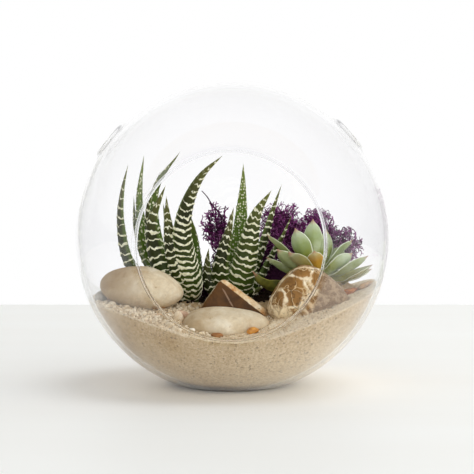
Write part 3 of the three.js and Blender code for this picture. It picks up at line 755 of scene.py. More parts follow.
def bowl_wall(edge, foot, centre, half, rows):
    """The bowl's wall, row by row, from the heights of its surface's edge to the angle of its foot."""
    across = half[:2, None] * circle(len(edge))
    start = np.arcsin(np.clip((edge - centre[2]) / half[2], -1, 1))
    part = np.linspace(0, 1, rows + 1)[1:, None]
    lean = start * (1 - part) + foot * part
    x, y = (centre[i] + np.cos(lean) * across[i] for i in (0, 1))
    return np.stack([x, y, centre[2] + half[2] * np.sin(lean)], -1).reshape(-1, 3)


def sand_bed(trees):
    """The sand, a heap in the globe's round, with values for painted shade and a painted foot shadow."""
    rings, sectors, rows = 104, 288, 46
    centre, half = np.zeros(3), np.full(3, INNER_R - GAP)
    below = FOOT_GLASS + GAP - CENTRE_HEIGHT
    top = bowl_top(bed_height, centre, half, rings, sectors, 0.9)
    under = bowl_wall(top[-sectors:, 2], math.asin(below / half[2]), centre, half, rows)
    middle = float(bed_height(np.zeros(1), np.zeros(1))[0])
    lumps = 0.42 * fractal(top / 2.6, 3, 3) + 0.5 * lattice(top / 11.0, 4)
    edge = smooth_step(86.9, 84, np.linalg.norm(top, axis=1))
    open_sand = top[:, 2] > sand_height(top[:, 0], top[:, 1]) - 0.01
    top[:, 2] += np.where(open_sand, lumps * edge, 0)
    top[:, 2] = lowered(top, trees)
    points = np.concatenate([top, under, [[0, 0, below], [0, 0, middle]]])
    x, _, z = points.T
    # painted shade: the sand seen through the glass is darker towards the left and upwards, with a painted
    # contact shadow in a band at its bottom left; the top has none
    damp = np.clip(0.6 - 0.5 * x / 80 + 0.5 * (z + 62) / 25, 0, 1)
    damp = damp + 0.9 * smooth_step(-76, -80, z) * smooth_step(20, -25, x)
    damp[: rings * sectors] = 0
    # painted contact shadow: a dark brown strip along the sand's bottom by the glass foot, fading towards the
    # right
    foot = smooth_step(-77.5, -80.6, z) * smooth_step(75, -30, x)
    gather = Gather()
    gather.add_closed(sectors, points, damp=np.clip(damp, 0, 1), foot=foot)
    show(gather.mesh("sand_bed"), sand_look(), "sand", "fine_sand")


def scatter(gather, sites, sizes, tones, subdivisions, squash=0.75, lift=0.2):
    """Angular grains at the given sites."""
    base, faces = icosphere(subdivisions)
    for site, size, tone in zip(sites, sizes, tones):
        shape = base * (1 + 0.28 * rng.standard_normal((len(base), 1)).clip(-1.5, 1.5))
        spin = turn_matrix(rng.uniform(0, 360, 3))
        shape = (shape * (1, rng.uniform(0.6, 1), squash)) @ spin.T
        gather.add(site + (0, 0, lift * size) + shape * size, triangles=faces, tone=tone)


def clear_sites(count, low, high, trees, margin, height):
    """Random places on the ground that keep clear of the stones and the glass."""
    sites = []
    while len(sites) < count:
        x, y = rng.uniform(low, high)
        z = float(height(np.array([x]), np.array([y]))[0])
        if math.hypot(x, y, z) > INNER_R - 1.6:
            continue
        at = Vector((x, y, z))
        if any(tree.find_nearest(at, margin)[0] is not None or inside(tree, at) for tree in trees.values()):
            continue
        sites.append((x, y, z))
    return np.array(sites)


def inside(tree, at):
    found = tree.find_nearest(at)
    return found[0] is not None and (at - found[0]).dot(found[1]) < 0


def in_soil(sites, grown):
    return off_centre(*sites.T, grown=grown) < 1


def own_draws(state=7):
    """Even draws from 0 to 1 that leave those of rng alone."""
    while True:
        state = (state * 1664525 + 1013904223) % 2**32
        yield state / 2**32


def sand_grains(trees):
    """Coarse and fine grains on the sand, chips by the left stones, and a few round stones of 1 to 2 mm."""
    gather = Gather()
    coarse = clear_sites(900, (-76, -66), (-12, -24), trees, 0.5, sand_height)
    fine = clear_sites(2300, (-78, -74), (60, -8), trees, 0.3, sand_height)
    fine = fine[~in_soil(fine, 1.0) | (fine[:, 1] < -6)]
    chips = clear_sites(90, (-40, -31), (-13, -8), trees, 0.7, sand_height)
    scatter(gather, chips, rng.uniform(0.8, 1.9, len(chips)), rng.uniform(0.25, 1, len(chips)), 2, 0.6)
    sizes = 0.5 + 1.1 * rng.uniform(0, 1, len(coarse)) ** 2.5
    scatter(gather, coarse, sizes, rng.uniform(0, 1, len(coarse)), 1)
    scatter(gather, fine, rng.uniform(0.25, 0.6, len(fine)), rng.uniform(0, 1, len(fine)), 1)
    directions, faces = icosphere(3)
    round_stones, draw = 14, own_draws()
    while round_stones:
        x, y = -70 + 48 * next(draw), -62 + 32 * next(draw)
        size = 1.3 + 1.1 * next(draw)
        site = on_sand(x, y, 0.3 * size)
        if math.hypot(*site) > INNER_R - 2 * size:
            continue
        phase = next(draw)
        points, _ = stone_points(directions, site, (size, 0.8 * size, 0.7 * size), phase=6 * phase, rough=0.1)
        gather.add(points, triangles=faces, tone=0.3 + 0.6 * phase)
        round_stones -= 1
    show(gather.mesh("sand_grains", closed=False), grain_look(), "sand", "fine_sand", flat=True)


def soil_bed(trees):
    """The soil: a lumpy top inside its bowl, with crumbs and a few white beads of perlite."""
    sectors, rings, rows = 220, 70, 20
    top = bowl_top(soil_height, SOIL_CENTRE, SOIL_HALF, rings, sectors)
    lumps = 0.55 * fractal(top / 2.2, 3, 9)
    lumps[-sectors:] = 0
    top[:, 2] += lumps
    top[:, 2] = lowered(top, trees)
    under = bowl_wall(top[-sectors:, 2], -math.pi / 2 + 0.03, SOIL_CENTRE, SOIL_HALF, rows)
    middle = SOIL_CENTRE[:2]
    ends = [[*middle, SOIL_CENTRE[2] - SOIL_HALF[2]], [*middle, float(soil_height(*middle))]]
    points = np.concatenate([top, under, ends])
    sandy = np.max([smooth_step(start, end, points[:, axis]) for axis, start, end in SANDY], axis=0)
    gather = Gather()
    gather.add_closed(sectors, points, tone=0, sandy=sandy)
    look = soil_look()
    show(gather.mesh("soil_bed"), look, "soil", "potting_soil")
    crumbs = Gather()
    sites = clear_sites(900, (-46, -18), (72, 44), trees, 0.4, soil_height)
    sites = sites[in_soil(sites, -1.0) & (sites[:, 0] < 54) & (sites[:, 1] > -9)]
    white = rng.uniform(0, 1, len(sites)) < 0.07
    sizes = np.where(white, rng.uniform(0.5, 1.1, len(sites)), rng.uniform(0.4, 1.4, len(sites)))
    scatter(crumbs, sites, sizes, np.where(white, 1.0, 0.0), 1, 0.85)
    show(crumbs.mesh("soil_crumbs", closed=False), look, "soil", "potting_soil", flat=True)


def show_stone(name, points, faces, material, node, slot, **values):
    gather = Gather()
    gather.add(points, triangles=faces, **values)
    show(gather.mesh(name), material, node, slot)


def stones():
    """The four river stones, the pebbles and chips, and the two strips of bark."""
    cream = ((0.28, "c2ab88"), (0.5, "d6c6a8"), (0.72, "e6dcc6"))
    brown = ((0.3, "442a10"), (0.55, "674218"), (0.75, "835a28"))
    veined = ((0.25, "5b4020"), (0.5, "865f30"), (0.7, "a0753c"), (0.85, "b18a50"))

    def tan(look):
        return look.ramp(look.noise(5, 3, 0.6), (0.3, "b87a3c"), (0.46, "d9b98a"), (0.66, "efe2c6"))

    def grey(look):
        return look.mix(look.ramp(look.noise(3, 4, 0.7), (0.46, 0.0), (0.56, 0.8)), "846a4f", "b39b7c")

    looks = {
        "stone_left": ("cream_stone", "cream_stone", cream, "b48457", "8a6c4c", painted_left_shade, 0.62),
        "stone_front": ("cream_stone", "pale_stone", cream, "b57f4c", "8a6c4c", painted_left_shade, 0.62),
        "stone_brown": ("brown_stone", "brown_stone", brown, tan, "2a1c15", diagonal_vein, 0.42),
        "stone_veined": ("veined_stone", "veined_stone", veined, grey, "4a2f18", marble_veins, 0.45),
    }
    directions, faces = icosphere(6)
    for name, (slot, *given) in looks.items():
        points, local = stone_points(directions, **STONES[name])
        patch, vein = marks_of(name, points, local)
        piece_name = name.replace("stone", "river_stone")
        show_stone(piece_name, points, faces, stone_look(*given), name, slot, patch=patch, vein=vein)
    directions, faces = icosphere(4)
    for name, (slot, low, high, shine) in PEBBLE_COLOURS.items():
        points, _ = stone_points(directions, **PEBBLES[name], rough=0.15)
        show_stone("small_" + name, points, faces, pebble_look(name, low, high, shine), name, slot)
    for name, low, high in (("bark_near", "6b2e0c", "d98a42"), ("bark_far", "71401a", "dcb078")):
        points, local = stone_points(directions, **PEBBLES[name], rough=0.0)
        endward = directions[:, 0]
        ridges = 0.6 * lattice(local / (4.0, 0.9, 0.9), 5) + 0.5 * fractal(local / 1.9, 3, 6)
        points = points + (ridges * smooth_step(1.0, 0.85, np.abs(endward)))[:, None] * directions
        torn = 1.5 * lattice(local * (0.1, 1.3, 1.5), 8) * smooth_step(0.5, 0.95, np.abs(endward))
        points = points + (torn * np.sign(endward))[:, None] * turn_matrix(PEBBLES[name]["turn"])[:, 0]
        show_stone("strip_of_" + name, points, faces, bark_look(name, low, high), name, "bark")


def marks_of(name, points, local):
    """Where a stone has its second colour, from 0 to 1, and where its painted shade at the left end, its pale
    corner or its thin vein is."""
    x, _, z = local.T
    if name == "stone_left":
        # the second number is painted shade: the left end darkened, away from the light
        return 0.75 * smooth_step(3, 12, x) * smooth_step(-4, -9, z), 0.95 * smooth_step(10, -18, x)
    if name == "stone_front":
        # the second number is painted shade: the left end darkened, away from the light
        return 0.75 * smooth_step(3.0, -3.5, z) * smooth_step(4, -12, x), 0.6 * smooth_step(2, -20, x)
    if name == "stone_veined":
        corner = 0.5 * smooth_step(-3, -11, z + 0.25 * x) * smooth_step(-2, -13, x)
        return 0.75 * smooth_step(-1, 5, x - 0.35 * z), corner
    # the brown stone's upward flats get a pale tan second colour, so it is lighter on top
    slope = local @ unit(np.array([0.59, 0, 0.8]))
    left = local @ unit(np.array([-0.84, 0, 0.55]))
    patch = np.clip(smooth_step(4.4, 6.0, slope + 0.04 * x) + 0.5 * smooth_step(12.6, 13.8, left), 0, 1)
    x, _, z = points.T
    off = (x + 3.8) - 0.6 * (-29 - z) + 0.6 * lattice(points / 4, 2)
    return patch, np.exp(-((off / 0.6) ** 2)) * smooth_step(-38, -35, z) * smooth_step(-24, -28, z)


# ---------- leaves ----------


def leaf(width, face, *points, **more):
    """A leaf's width, the way its back looks in degrees from the front, its spine after the crown, and
    what else it has."""
    return dict(width=width, face=face, points=points, **more)


HAWORTHIA_LEFT = dict(crown=(-25, 2, -34), radius=5.5, stem=(-25, 2, -38), leaves=[
    leaf(13.2, 285, (-43, 4, -28), (-58, 6, -14), (-63.5, 6, 9), (-63, 5, 27), (-60, 3, 43), arch=1.0,
         pitch=(4.6, 5.8)),
    leaf(12, 235, (-37, 9, -26), (-49, 15, -8), (-54, 18, 21), (-52, 20, 48), arch=0.5, tone=0.3),
    leaf(8, 240, (-39, 14, -28), (-51, 20, -13), (-57, 22, 7), (-58, 20, 24), arch=0.5),
    leaf(11, 215, (-34, 11, -26), (-44, 18, -3), (-45, 22, 27), (-30.5, 20, 50), arch=0.5),
    leaf(9, 285, (-36, 6, -26), (-46, 9, -5), (-48, 9, 18), (-41.5, 10, 39), arch=0.6),
    leaf(14, 330, (-34, -3, -28), (-43.5, -6, -7), (-45.5, -7, 10), (-38, -7, 31), arch=1.2,
         pitch=(3.4, 5.8), heavy=1.2),
    leaf(13, 350, (-27, -5, -26), (-33.5, -10, -8), (-36.5, -11, 10), (-37.5, -9.5, 25), arch=0.9,
         pitch=(3.2, 4.6), heavy=1.1),
    leaf(14, 12, (-23.5, -5, -27), (-27, -11, -8), (-28.5, -13, 5), (-25, -12, 22), (-17, -10, 37),
         (-5.4, -8, 48), arch=-1.8, pitch=(3.0, 4.4), heavy=1.35, bare=0.9),
    leaf(11, 150, (-22, 9, -26), (-22, 16, -12), (-23, 19, 2), (-26, 18, 16), arch=0.5),
    leaf(10, 190, (-29, 12, -28), (-35, 26, -14), (-38, 31, 2), (-41, 30, 19), arch=0.5),
])
HAWORTHIA_RIGHT = dict(crown=(2.5, 8, -33), radius=5.5, stem=(2.5, 8, -38), leaves=[
    leaf(12, 180, (2.5, 12, -24), (4.5, 14, 0), (6.4, 14, 30), (6.6, 13, 43), arch=0.5, tone=0.4,
         cell=1.35, dots=0.8),
    leaf(16.5, 8, (4.5, 3, -26), (9, -3, -6), (13.8, -4, 14), (22.7, -3, 28), arch=-0.6, tone=0.15,
         pitch=(3.4, 4.1), heavy=1.1),
    leaf(10, 70, (8.5, 9, -24), (17.5, 10, -2), (23.3, 11, 16), (29, 11, 31), arch=0.6),
    leaf(12, 335, (-5, 4, -27), (-6.5, 0, -17), (-4.5, -1, -6), (-1.5, 0, 6), (1, 2, 18), arch=1.0),
    leaf(11, 320, (-9, 5, -31), (-13.5, 4, -24), (-14.2, 5, -14), (-13.5, 6, -6), arch=1.6),
    leaf(8, 50, (10, 4, -32), (15, 1, -29.5), (19.5, 0, -26), arch=0.5),
    leaf(9, 85, (12, 10, -27), (22, 12, -11), (29, 12, 1), (35, 12, 13), arch=0.4),
    leaf(11, 185, (1, 16, -27), (-1, 22, -18), (-2, 25, -4), (-1, 26, 13), arch=0.5),
    leaf(9, 160, (8, 17, -28), (12, 22, -18), (13, 23, -4), arch=0.5),
])
ECHEVERIA = dict(crown=(50, 4, -22), radius=6, stem=(50, 4, -29), leaves=[
    leaf(11, 355, (47, -1, -5), (46.5, -2, 11.5)),
    leaf(12, 335, (42, -3, -9), (36, -7, 6.5)),
    leaf(10, 285, (34, -1, -10), (19.5, -3, 3), tone=0.4),
    leaf(12.5, 318, (35, -8, -14), (25.5, -14, -5), tone=0.2),
    leaf(11, 290, (32, 0, -18), (19.5, -3, -10.5), tone=0.3),
    leaf(12, 325, (40, -9, -14), (32, -17, -6.5), tone=0.5, warm=0.25),
    leaf(10, 0, (48, -7, -13), (46.8, -14, -6), warm=1.0),
    leaf(9, 20, (53.5, 0, -8), (54.5, 0, 5.5)),
    leaf(10, 80, (61, 4, -9), (70.5, 5, -1)),
    leaf(11.5, 50, (61, -2, -15), (69.5, -4, -8)),
    leaf(10, 65, (65, -4, -18), (78.5, -6, -9.5)),
    leaf(10, 90, (67, 1, -21.5), (82, 0, -15.3), tone=0.2, warm=0.2),
    leaf(10, 100, (68, 7, -23.5), (82.5, 8, -18.5), warm=0.35),
    leaf(9, 200, (48.5, 4.5, -8), (49.5, 3, 3)),
    leaf(8.5, 140, (55, 5.5, -9), (57, 5.5, 2)),
    leaf(11, 215, (43, 10, -13), (38.5, 13, -2)),
    leaf(11, 140, (60, 10, -13), (65, 12, -5)),
    leaf(11, 180, (51, 12, -13), (51, 14.5, -3)),
    leaf(10, 245, (38, 9, -17), (28.5, 10, -10)),
    leaf(7.5, 320, (38, 0, -25.5), (25, -6, -27), (17, -11, -24), (11.5, -13, -17.5), tone=1.0),
])
SPOON = [(0, 0.42), (0.25, 0.52), (0.5, 0.86), (0.68, 1), (0.82, 0.78), (0.91, 0.4), (0.955, 0.16), (1, 0.02)]


def spine_points(points, per_span=60):
    """A centripetal Catmull-Rom curve through the points, and its length up to each of its own points."""
    p = np.array(points, float)
    p = np.vstack([2 * p[0] - p[1], p, 2 * p[-1] - p[-2]])
    out = []
    t = np.linspace(0, 1, per_span + 1)[:, None]
    for i in range(1, len(p) - 2):
        p0, p1, p2, p3 = p[i - 1 : i + 3]
        d0, d1, d2 = (math.sqrt(np.linalg.norm(b - a)) for a, b in ((p0, p1), (p1, p2), (p2, p3)))
        m1 = ((p1 - p0) / d0 - (p2 - p0) / (d0 + d1) + (p2 - p1) / d1) * d1
        m2 = ((p2 - p1) / d1 - (p3 - p1) / (d1 + d2) + (p3 - p2) / d2) * d1
        span = (2 * t**3 - 3 * t**2 + 1) * p1 + (t**3 - 2 * t**2 + t) * m1
        span = span + (-2 * t**3 + 3 * t**2) * p2 + (t**3 - t**2) * m2
        out.append(span if i == len(p) - 3 else span[:-1])
    line = np.concatenate(out)
    run = np.concatenate([[0], np.cumsum(np.linalg.norm(np.diff(line, axis=0), axis=1))])
    return line, run


def leaf_frames(points, face, share, columns):
    """For each point of a leaf's grid its place on the spine, the way the leaf's back looks and its side
    there, and with them the leaf's length."""
    line, run = spine_points(points)
    wanted = share * run[-1]
    at = np.stack([np.interp(wanted, run, line[:, i]) for i in range(3)], 1)
    along = unit(np.gradient(line, run, axis=0))
    along = unit(np.stack([np.interp(wanted, run, along[:, i]) for i in range(3)], 1))
    outward_way = np.array([math.sin(math.radians(face)), -math.cos(math.radians(face)), 0])
    back = unit(outward_way - (along @ outward_way)[:, None] * along)
    return *(np.repeat(a, columns, axis=0) for a in (at, back, np.cross(along, back))), run[-1]


def add_leaf(gather, columns, surface, even, **values):
    """Adds a leaf's grid, closed at its tip and root. The even values are the same all over, and each
    other one has its numbers on the grid, at the tip and at the root."""
    surface = np.concatenate([surface, [surface[-columns:].mean(0), surface[:columns].mean(0)]])
    values = {name: np.concatenate([grid, ends]) for name, (grid, *ends) in values.items()}
    gather.add_closed(columns, surface, **even, **values)


def spots(across, along, cell, chance, seed):
    """Raised dots, one in some cells of a jittered grid: above 0 inside a dot, 1 at its middle."""
    best = np.full(len(across), -1.0)
    column, row = np.floor(across / cell), np.floor(along / cell)
    for dx in (-1, 0, 1):
        for dy in (-1, 0, 1):
            key = np.stack([column + dx, row + dy, np.full(len(across), float(seed))], 1) + 0.001
            shift_x, shift_y = lattice(key, 1), lattice(key + 50, 2)
            size = cell * (0.2 + 0.17 * (lattice(key, 3) + 1) / 2)
            there = lattice(key, 4) < 2 * chance - 1
            middle_x = (column + dx + 0.5 + 0.34 * shift_x) * cell
            middle_y = (row + dy + 0.5 + 0.34 * shift_y) * cell
            off = np.hypot(across - middle_x, along - middle_y) / size
            best = np.where(there, np.maximum(best, 1 - off), best)
    return best


def banded_leaf(gather, crown, points, width, face, arch=0.0, tone=0.0, pitch=(3.4, 4.6), heavy=1.0,
                cell=1.75, dots=0.55, bare=0.0, seed=0):
    """A stiff leaf, round on its back, with raised white bands there and white dots inside. The bands
    stand closer near the root, a positive arch lifts their middles, and a bare leaf has none on the left
    of its upper half."""
    rows, columns = 210, 40
    share = np.linspace(0, 1, rows) ** 0.96
    at, back, side, length = leaf_frames([crown, *points], face, share, columns)
    neck = 0.82 + 0.18 * np.minimum(1, 6 * share)
    taper = np.maximum(0.02, neck * (1 - share**1.7)) * np.sqrt(np.clip((1 - share) * 60, 0, 1))
    half, thick = (width / 2) * taper, 0.46 * width * taper
    c, s = circle(columns)
    hump = np.where(s > 0, np.abs(s) ** 0.9, -0.22 * np.abs(s) ** 0.8)
    keel = 1 + 0.16 * share[:, None] * (1 - np.abs(c)) ** 2
    across, out = (half[:, None] * c).ravel(), (thick[:, None] * hump * keel).ravel()

    run = np.repeat(share * length, columns)
    v, inner = np.tile(c, rows), np.tile(s < -0.02, rows)
    flat = np.stack([v * 1.6, run / 5.0, np.full(len(v), 7.0 * seed)], 1)
    wobble = 0.9 * lattice(flat * (1.4, 1.2, 1), 11) + 0.5 * lattice(flat * (3.4, 2, 1), 12)
    wobble += 0.3 * lattice(flat * (8, 5, 1), 14)
    fold = arch * (0.6 * v * v + 0.4 * np.abs(v) - 0.35) + 0.3 * np.sin(7 * v + 3 * seed)
    near, far = pitch
    spacing = near + (far - near) * run / length
    phase = length * np.log(spacing / near) / (far - near) + (wobble + fold) / spacing
    number = np.floor(phase)
    off = np.abs(phase - number - 0.5) * spacing
    weight = 0.47 + 0.34 * lattice(np.stack([v * 2.6, number * 3.7, np.full(len(v), seed + 0.5)], 1), 13)
    weight *= 1 - bare * smooth_step(0.48, 0.68, run / length) * smooth_step(-0.1, -0.5, v)
    weight *= heavy * (0.6 + 0.4 * np.repeat(np.minimum(1, 2.2 * taper), columns))
    bands = 1 - off / np.maximum(0.08, weight)
    spot = spots(np.repeat(half, columns) * v, run * 0.8, cell, dots, seed + 1)
    band = np.clip(np.where(inner, spot, np.maximum(bands, -1)), -1, 1)
    band *= np.repeat(smooth_step(0.02, 0.08, share), columns)

    raised = 0.42 * smooth_step(-0.1, 0.7, band) * np.repeat(np.minimum(1, 1.8 * taper), columns)
    across, out = across + raised * v, out + raised * np.tile(s, rows)
    add_leaf(
        gather, columns, at + side * across[:, None] + back * out[:, None], dict(tone=tone),
        band=(0.5 + 0.5 * band, 0.5, 0.5), inner=(inner, 0, 0), along=(np.repeat(share, columns), 1, 0),
        edge=(smooth_step(0.86, 1.0, np.abs(v)), 0, 0),
    )


def spoon_leaf(gather, crown, points, width, face, tone=0.0, warm=0.0, seed=0):
    """A fleshy leaf, widest near its end, with a thin pale edge and a short sharp tip."""
    rows, columns = 64, 44
    share = 1 - (1 - np.linspace(0, 1, rows)) ** 1.25
    at, back, side, _ = leaf_frames([crown, *points], face, share, columns)
    line, _ = spine_points([(u, w, 0) for u, w in SPOON], 20)
    wide = np.maximum(0.015, np.interp(share, line[:, 0], line[:, 1]))
    half = (width / 2) * wide
    thick = 0.2 * width * (1.15 - 0.75 * share) * np.minimum(1, wide * 2.2)
    c, s = circle(columns)
    cup = 0.16 * half[:, None] * c**2
    hump = np.where(s > 0, np.abs(s) ** 1.3 * (1 + 0.35 * (1 - np.abs(c)) ** 2), -0.4 * np.abs(s) ** 0.9)
    across, out = half[:, None] * c, thick[:, None] * hump - cup
    surface = at + side * across.ravel()[:, None] + back * out.ravel()[:, None]
    surface += 0.12 * fractal(surface / 3.5, 2, seed)[:, None] * back
    add_leaf(
        gather, columns, surface, dict(tone=tone, warm=warm, shade=(0.37 * seed * seed) % 1),
        along=(np.repeat(share, columns), 1, 0), edge=(np.tile(smooth_step(0.8, 1.0, np.abs(c)), rows), 1, 0),
    )


def plant(name, node, shape, leaf_maker, look, slot, stem_radius, stem_half):
    """A plant of leaves on a round crown and a buried stem. Gives a tree of its surface."""
    gather = Gather()
    for i, given in enumerate(shape["leaves"]):
        leaf_maker(gather, shape["crown"], seed=i + 1, **given)
    directions, faces = icosphere(4)
    crown = directions * shape["radius"] * np.array([1, 1, 1.3]) + shape["crown"]
    blank = dict(along=0.1, tone=0.2, edge=0.0)
    blank.update(dict(band=0.0, inner=0.0) if leaf_maker is banded_leaf else dict(warm=0.0, shade=1.0))
    gather.add(crown, triangles=faces, **blank)
    sides = 24
    cos, sin = circle(sides)
    heights = np.linspace(-stem_half, stem_half, 6)
    stem = [np.stack([stem_radius * cos, stem_radius * sin, np.full(sides, h)], 1) for h in heights]
    ends = [[0, 0, stem_half], [0, 0, -stem_half]]
    gather.add_closed(sides, np.concatenate([*stem, ends]) + shape["stem"], **blank)
    show(gather.mesh(name), look, node, slot)
    faces = [list(f) for part in (*gather.quads, *gather.triangles) for f in part]
    return BVHTree.FromPolygons(np.concatenate(gather.points).tolist(), faces)


# ---------- moss ----------

# low tufts carry a painted shade value that darkens all their sprigs, and a core is a solid middle coloured
# dark as painted shade
MOSS = {
    "moss_left": [
        dict(at=(-9.5, 18, 7), half=(10, 6, 15), limbs=16, foot=(-5, 19, -12)),
        dict(at=(-5, 18, 0), half=(5, 5, 11), sprigs=34),
        dict(at=(-8.5, 18, -17), half=(4.5, 5, 9), sprigs=70, deep=0.6),
        dict(at=(-12.5, 18, -31), half=(9, 7, 6), core=0.8, sprigs=90, deep=0.85),
    ],
    "moss_right": [
        dict(at=(29.5, 30, -1), half=(15, 9, 22), core=0.62, sprigs=280),
        dict(at=(51, 28, 0), half=(13, 8, 17), core=0.6, sprigs=205),
        dict(at=(66, 27, -7), half=(13, 7, 12), core=0.4, sprigs=110),
        dict(at=(24, 29, -26), half=(12, 8, 13), core=0.85, sprigs=130, deep=0.8),
        dict(at=(18, 27, -15), half=(8, 5, 10), core=0.7, sprigs=60, deep=0.8),
    ],
}
TWIG = [
    (-17.6, 12, 27), (-14.4, 12, 23.4), (-12.6, 12.5, 20.4), (-9.8, 13, 16.6), (-5.8, 14, 11.5), (-3.5, 15, 5)
]
FEET = {"moss_left": [(-12.5, 20, -42)], "moss_right": [(28, 30, -42), (56, 27, -40)]}


def tubes(gather, starts, ends, radius_start, radius_end, tone, deep, sides=4):
    """Straight tapering tubes between pairs of points."""
    along = unit(ends - starts)
    helper = np.where(np.abs(along[:, 2:]) < 0.8, [[0.0, 0, 1]], [[1.0, 0, 0]])
    one = unit(np.cross(along, helper))
    two = np.cross(along, one)
    cos, sin = circle(sides)
    ring = cos[None, :, None] * one[:, None, :] + sin[None, :, None] * two[:, None, :]
    first = starts[:, None, :] + ring * radius_start[:, None, None]
    second = ends[:, None, :] + ring * radius_end[:, None, None]
    points = np.concatenate([first, second], 1).reshape(-1, 3)
    base = (np.arange(len(starts)) * 2 * sides)[:, None]
    k = np.arange(sides)[None, :]
    after = (k + 1) % sides
    quads = np.stack([base + k, base + after, base + sides + after, base + sides + k], -1).reshape(-1, 4)
    fan = np.array([[0, i, i + 1] for i in range(1, sides - 1)])
    ends_of_tubes = (base[:, :, None] + sides + fan[None], base[:, :, None] + fan[None, :, ::-1])
    caps = np.concatenate([end.reshape(-1, 3) for end in ends_of_tubes])
    tone, deep = (np.repeat(np.broadcast_to(value, len(starts)), 2 * sides) for value in (tone, deep))
    gather.add(points, quads, caps, tone=tone, deep=deep)


def strand(gather, line, radii, tone, deep, sides):
    """Tubes from each point of a line to the next."""
    tubes(gather, line[:-1], line[1:], radii[:-1], radii[1:], tone, deep, sides)


def clear_of(points, blockers, centre, half, room):
    """Which points lie in the tuft's form and in the globe, above the soil and outside the leaves, and
    how far out they lie in the tuft."""
    spread = np.linalg.norm((points - centre) / half, axis=1)
    keep = spread < 1.04 + 0.1 * lattice(points / 4.0, 31)
    keep &= np.linalg.norm(points, axis=1) < INNER_R - 1.2
    keep &= points[:, 2] > soil_height(points[:, 0], points[:, 1]) + 0.3
    for i in np.nonzero(keep)[0]:
        at = Vector(points[i])
        keep[i] = not any(
            tree.find_nearest(at, room)[0] is not None or enclosed(tree, at) for tree in blockers
        )
    return keep, spread


def enclosed(tree, at):
    """Whether a point is inside a surface: behind it, and with rays up and down that meet it from within."""
    if not inside(tree, at):
        return False
    up = tree.ray_cast(at, Vector((0, 0, 1)))
    down = tree.ray_cast(at, Vector((0, 0, -1)))
    return up[0] is not None and down[0] is not None and up[1].z > 0 and down[1].z < 0


def limbs_of(tuft, centre, half, blockers):
    """Long bent limbs that fan out from a foot into the tuft's form, each with its twigs' first points."""
    segments, buds, ways = [], [], []
    for i in range(tuft["limbs"]):
        turn = 2 * math.pi * (i + rng.uniform(0, 0.6)) / tuft["limbs"]
        far = rng.uniform(0.35, 0.9)
        fan = [far * math.cos(turn), rng.uniform(-0.5, 0.5), 0.1 + far * math.sin(turn)]
        goal = centre + half * np.array(fan)
        line, _ = spine_points([tuft["foot"], (goal + tuft["foot"]) / 2 + rng.normal(0, 1.8, 3), goal], 12)
        line = line + 0.5 * np.stack([lattice(line / 2.5 + 9 * i, 40 + k) for k in range(3)], 1)
        keep, spread = clear_of(line, blockers, centre, half * 1.1, 0.6)
        whole = np.logical_and.accumulate(keep | (np.arange(len(line)) < 8))
        line, spread = line[whole], spread[whole]
        thick = np.linspace(0.6, 0.36, len(line))
        segments.append((line[:-1], line[1:], thick[:-1], thick[1:], spread[1:]))
        along = unit(np.diff(line, axis=0))
        for k in range(2, len(line) - 1):
            buds.append(line[k])
            ways.append(unit(along[k] + 1.1 * rng.standard_normal(3)))
    return segments, np.array(buds), np.array(ways)


def grow(tuft, blockers):
    """Forked sprigs all over a tuft: arrays of starts, ends, radii and how far out in the tuft they lie."""
    centre, half = np.array(tuft["at"], float), np.array(tuft["half"], float)
    if "limbs" in tuft:
        levels, thinnest = 3, 0.24
        segments, start, heading = limbs_of(tuft, centre, half, blockers)
        thick = rng.uniform(0.32, 0.42, len(start))
    else:
        levels, thinnest, count = 6, 0.16, tuft["sprigs"]
        way = unit(rng.standard_normal((count, 3)))
        segments, start = [], centre + way * half * rng.uniform(0.35, 0.86, count)[:, None]
        heading = unit(unit(way * (1, 1, 1.2)) + 0.55 * rng.standard_normal((count, 3)) + (0, 0, 0.25))
        thick = rng.uniform(0.28, 0.4, count)
    for level in range(levels):
        length = rng.uniform(1.0, 2.7, len(start)) * (1 - 0.08 * level)
        end = start + heading * length[:, None]
        keep, spread = clear_of(end, blockers, centre, half, 0.7)
        start, end, heading, thick, spread = (a[keep] for a in (start, end, heading, thick, spread))
        segments.append((start, end, thick, thick * 0.82, spread))
        start, heading, thick = (np.repeat(a, 2, axis=0) for a in (end, heading, thick))
        heading = unit(heading + 0.75 * rng.standard_normal(heading.shape))
        keep = rng.uniform(0, 1, len(start)) < (0.9 if level < 3 else 0.72)
        start, heading, thick = start[keep], heading[keep], np.maximum(thinnest, thick[keep] * 0.82)
    return [np.concatenate(part) for part in zip(*segments)]


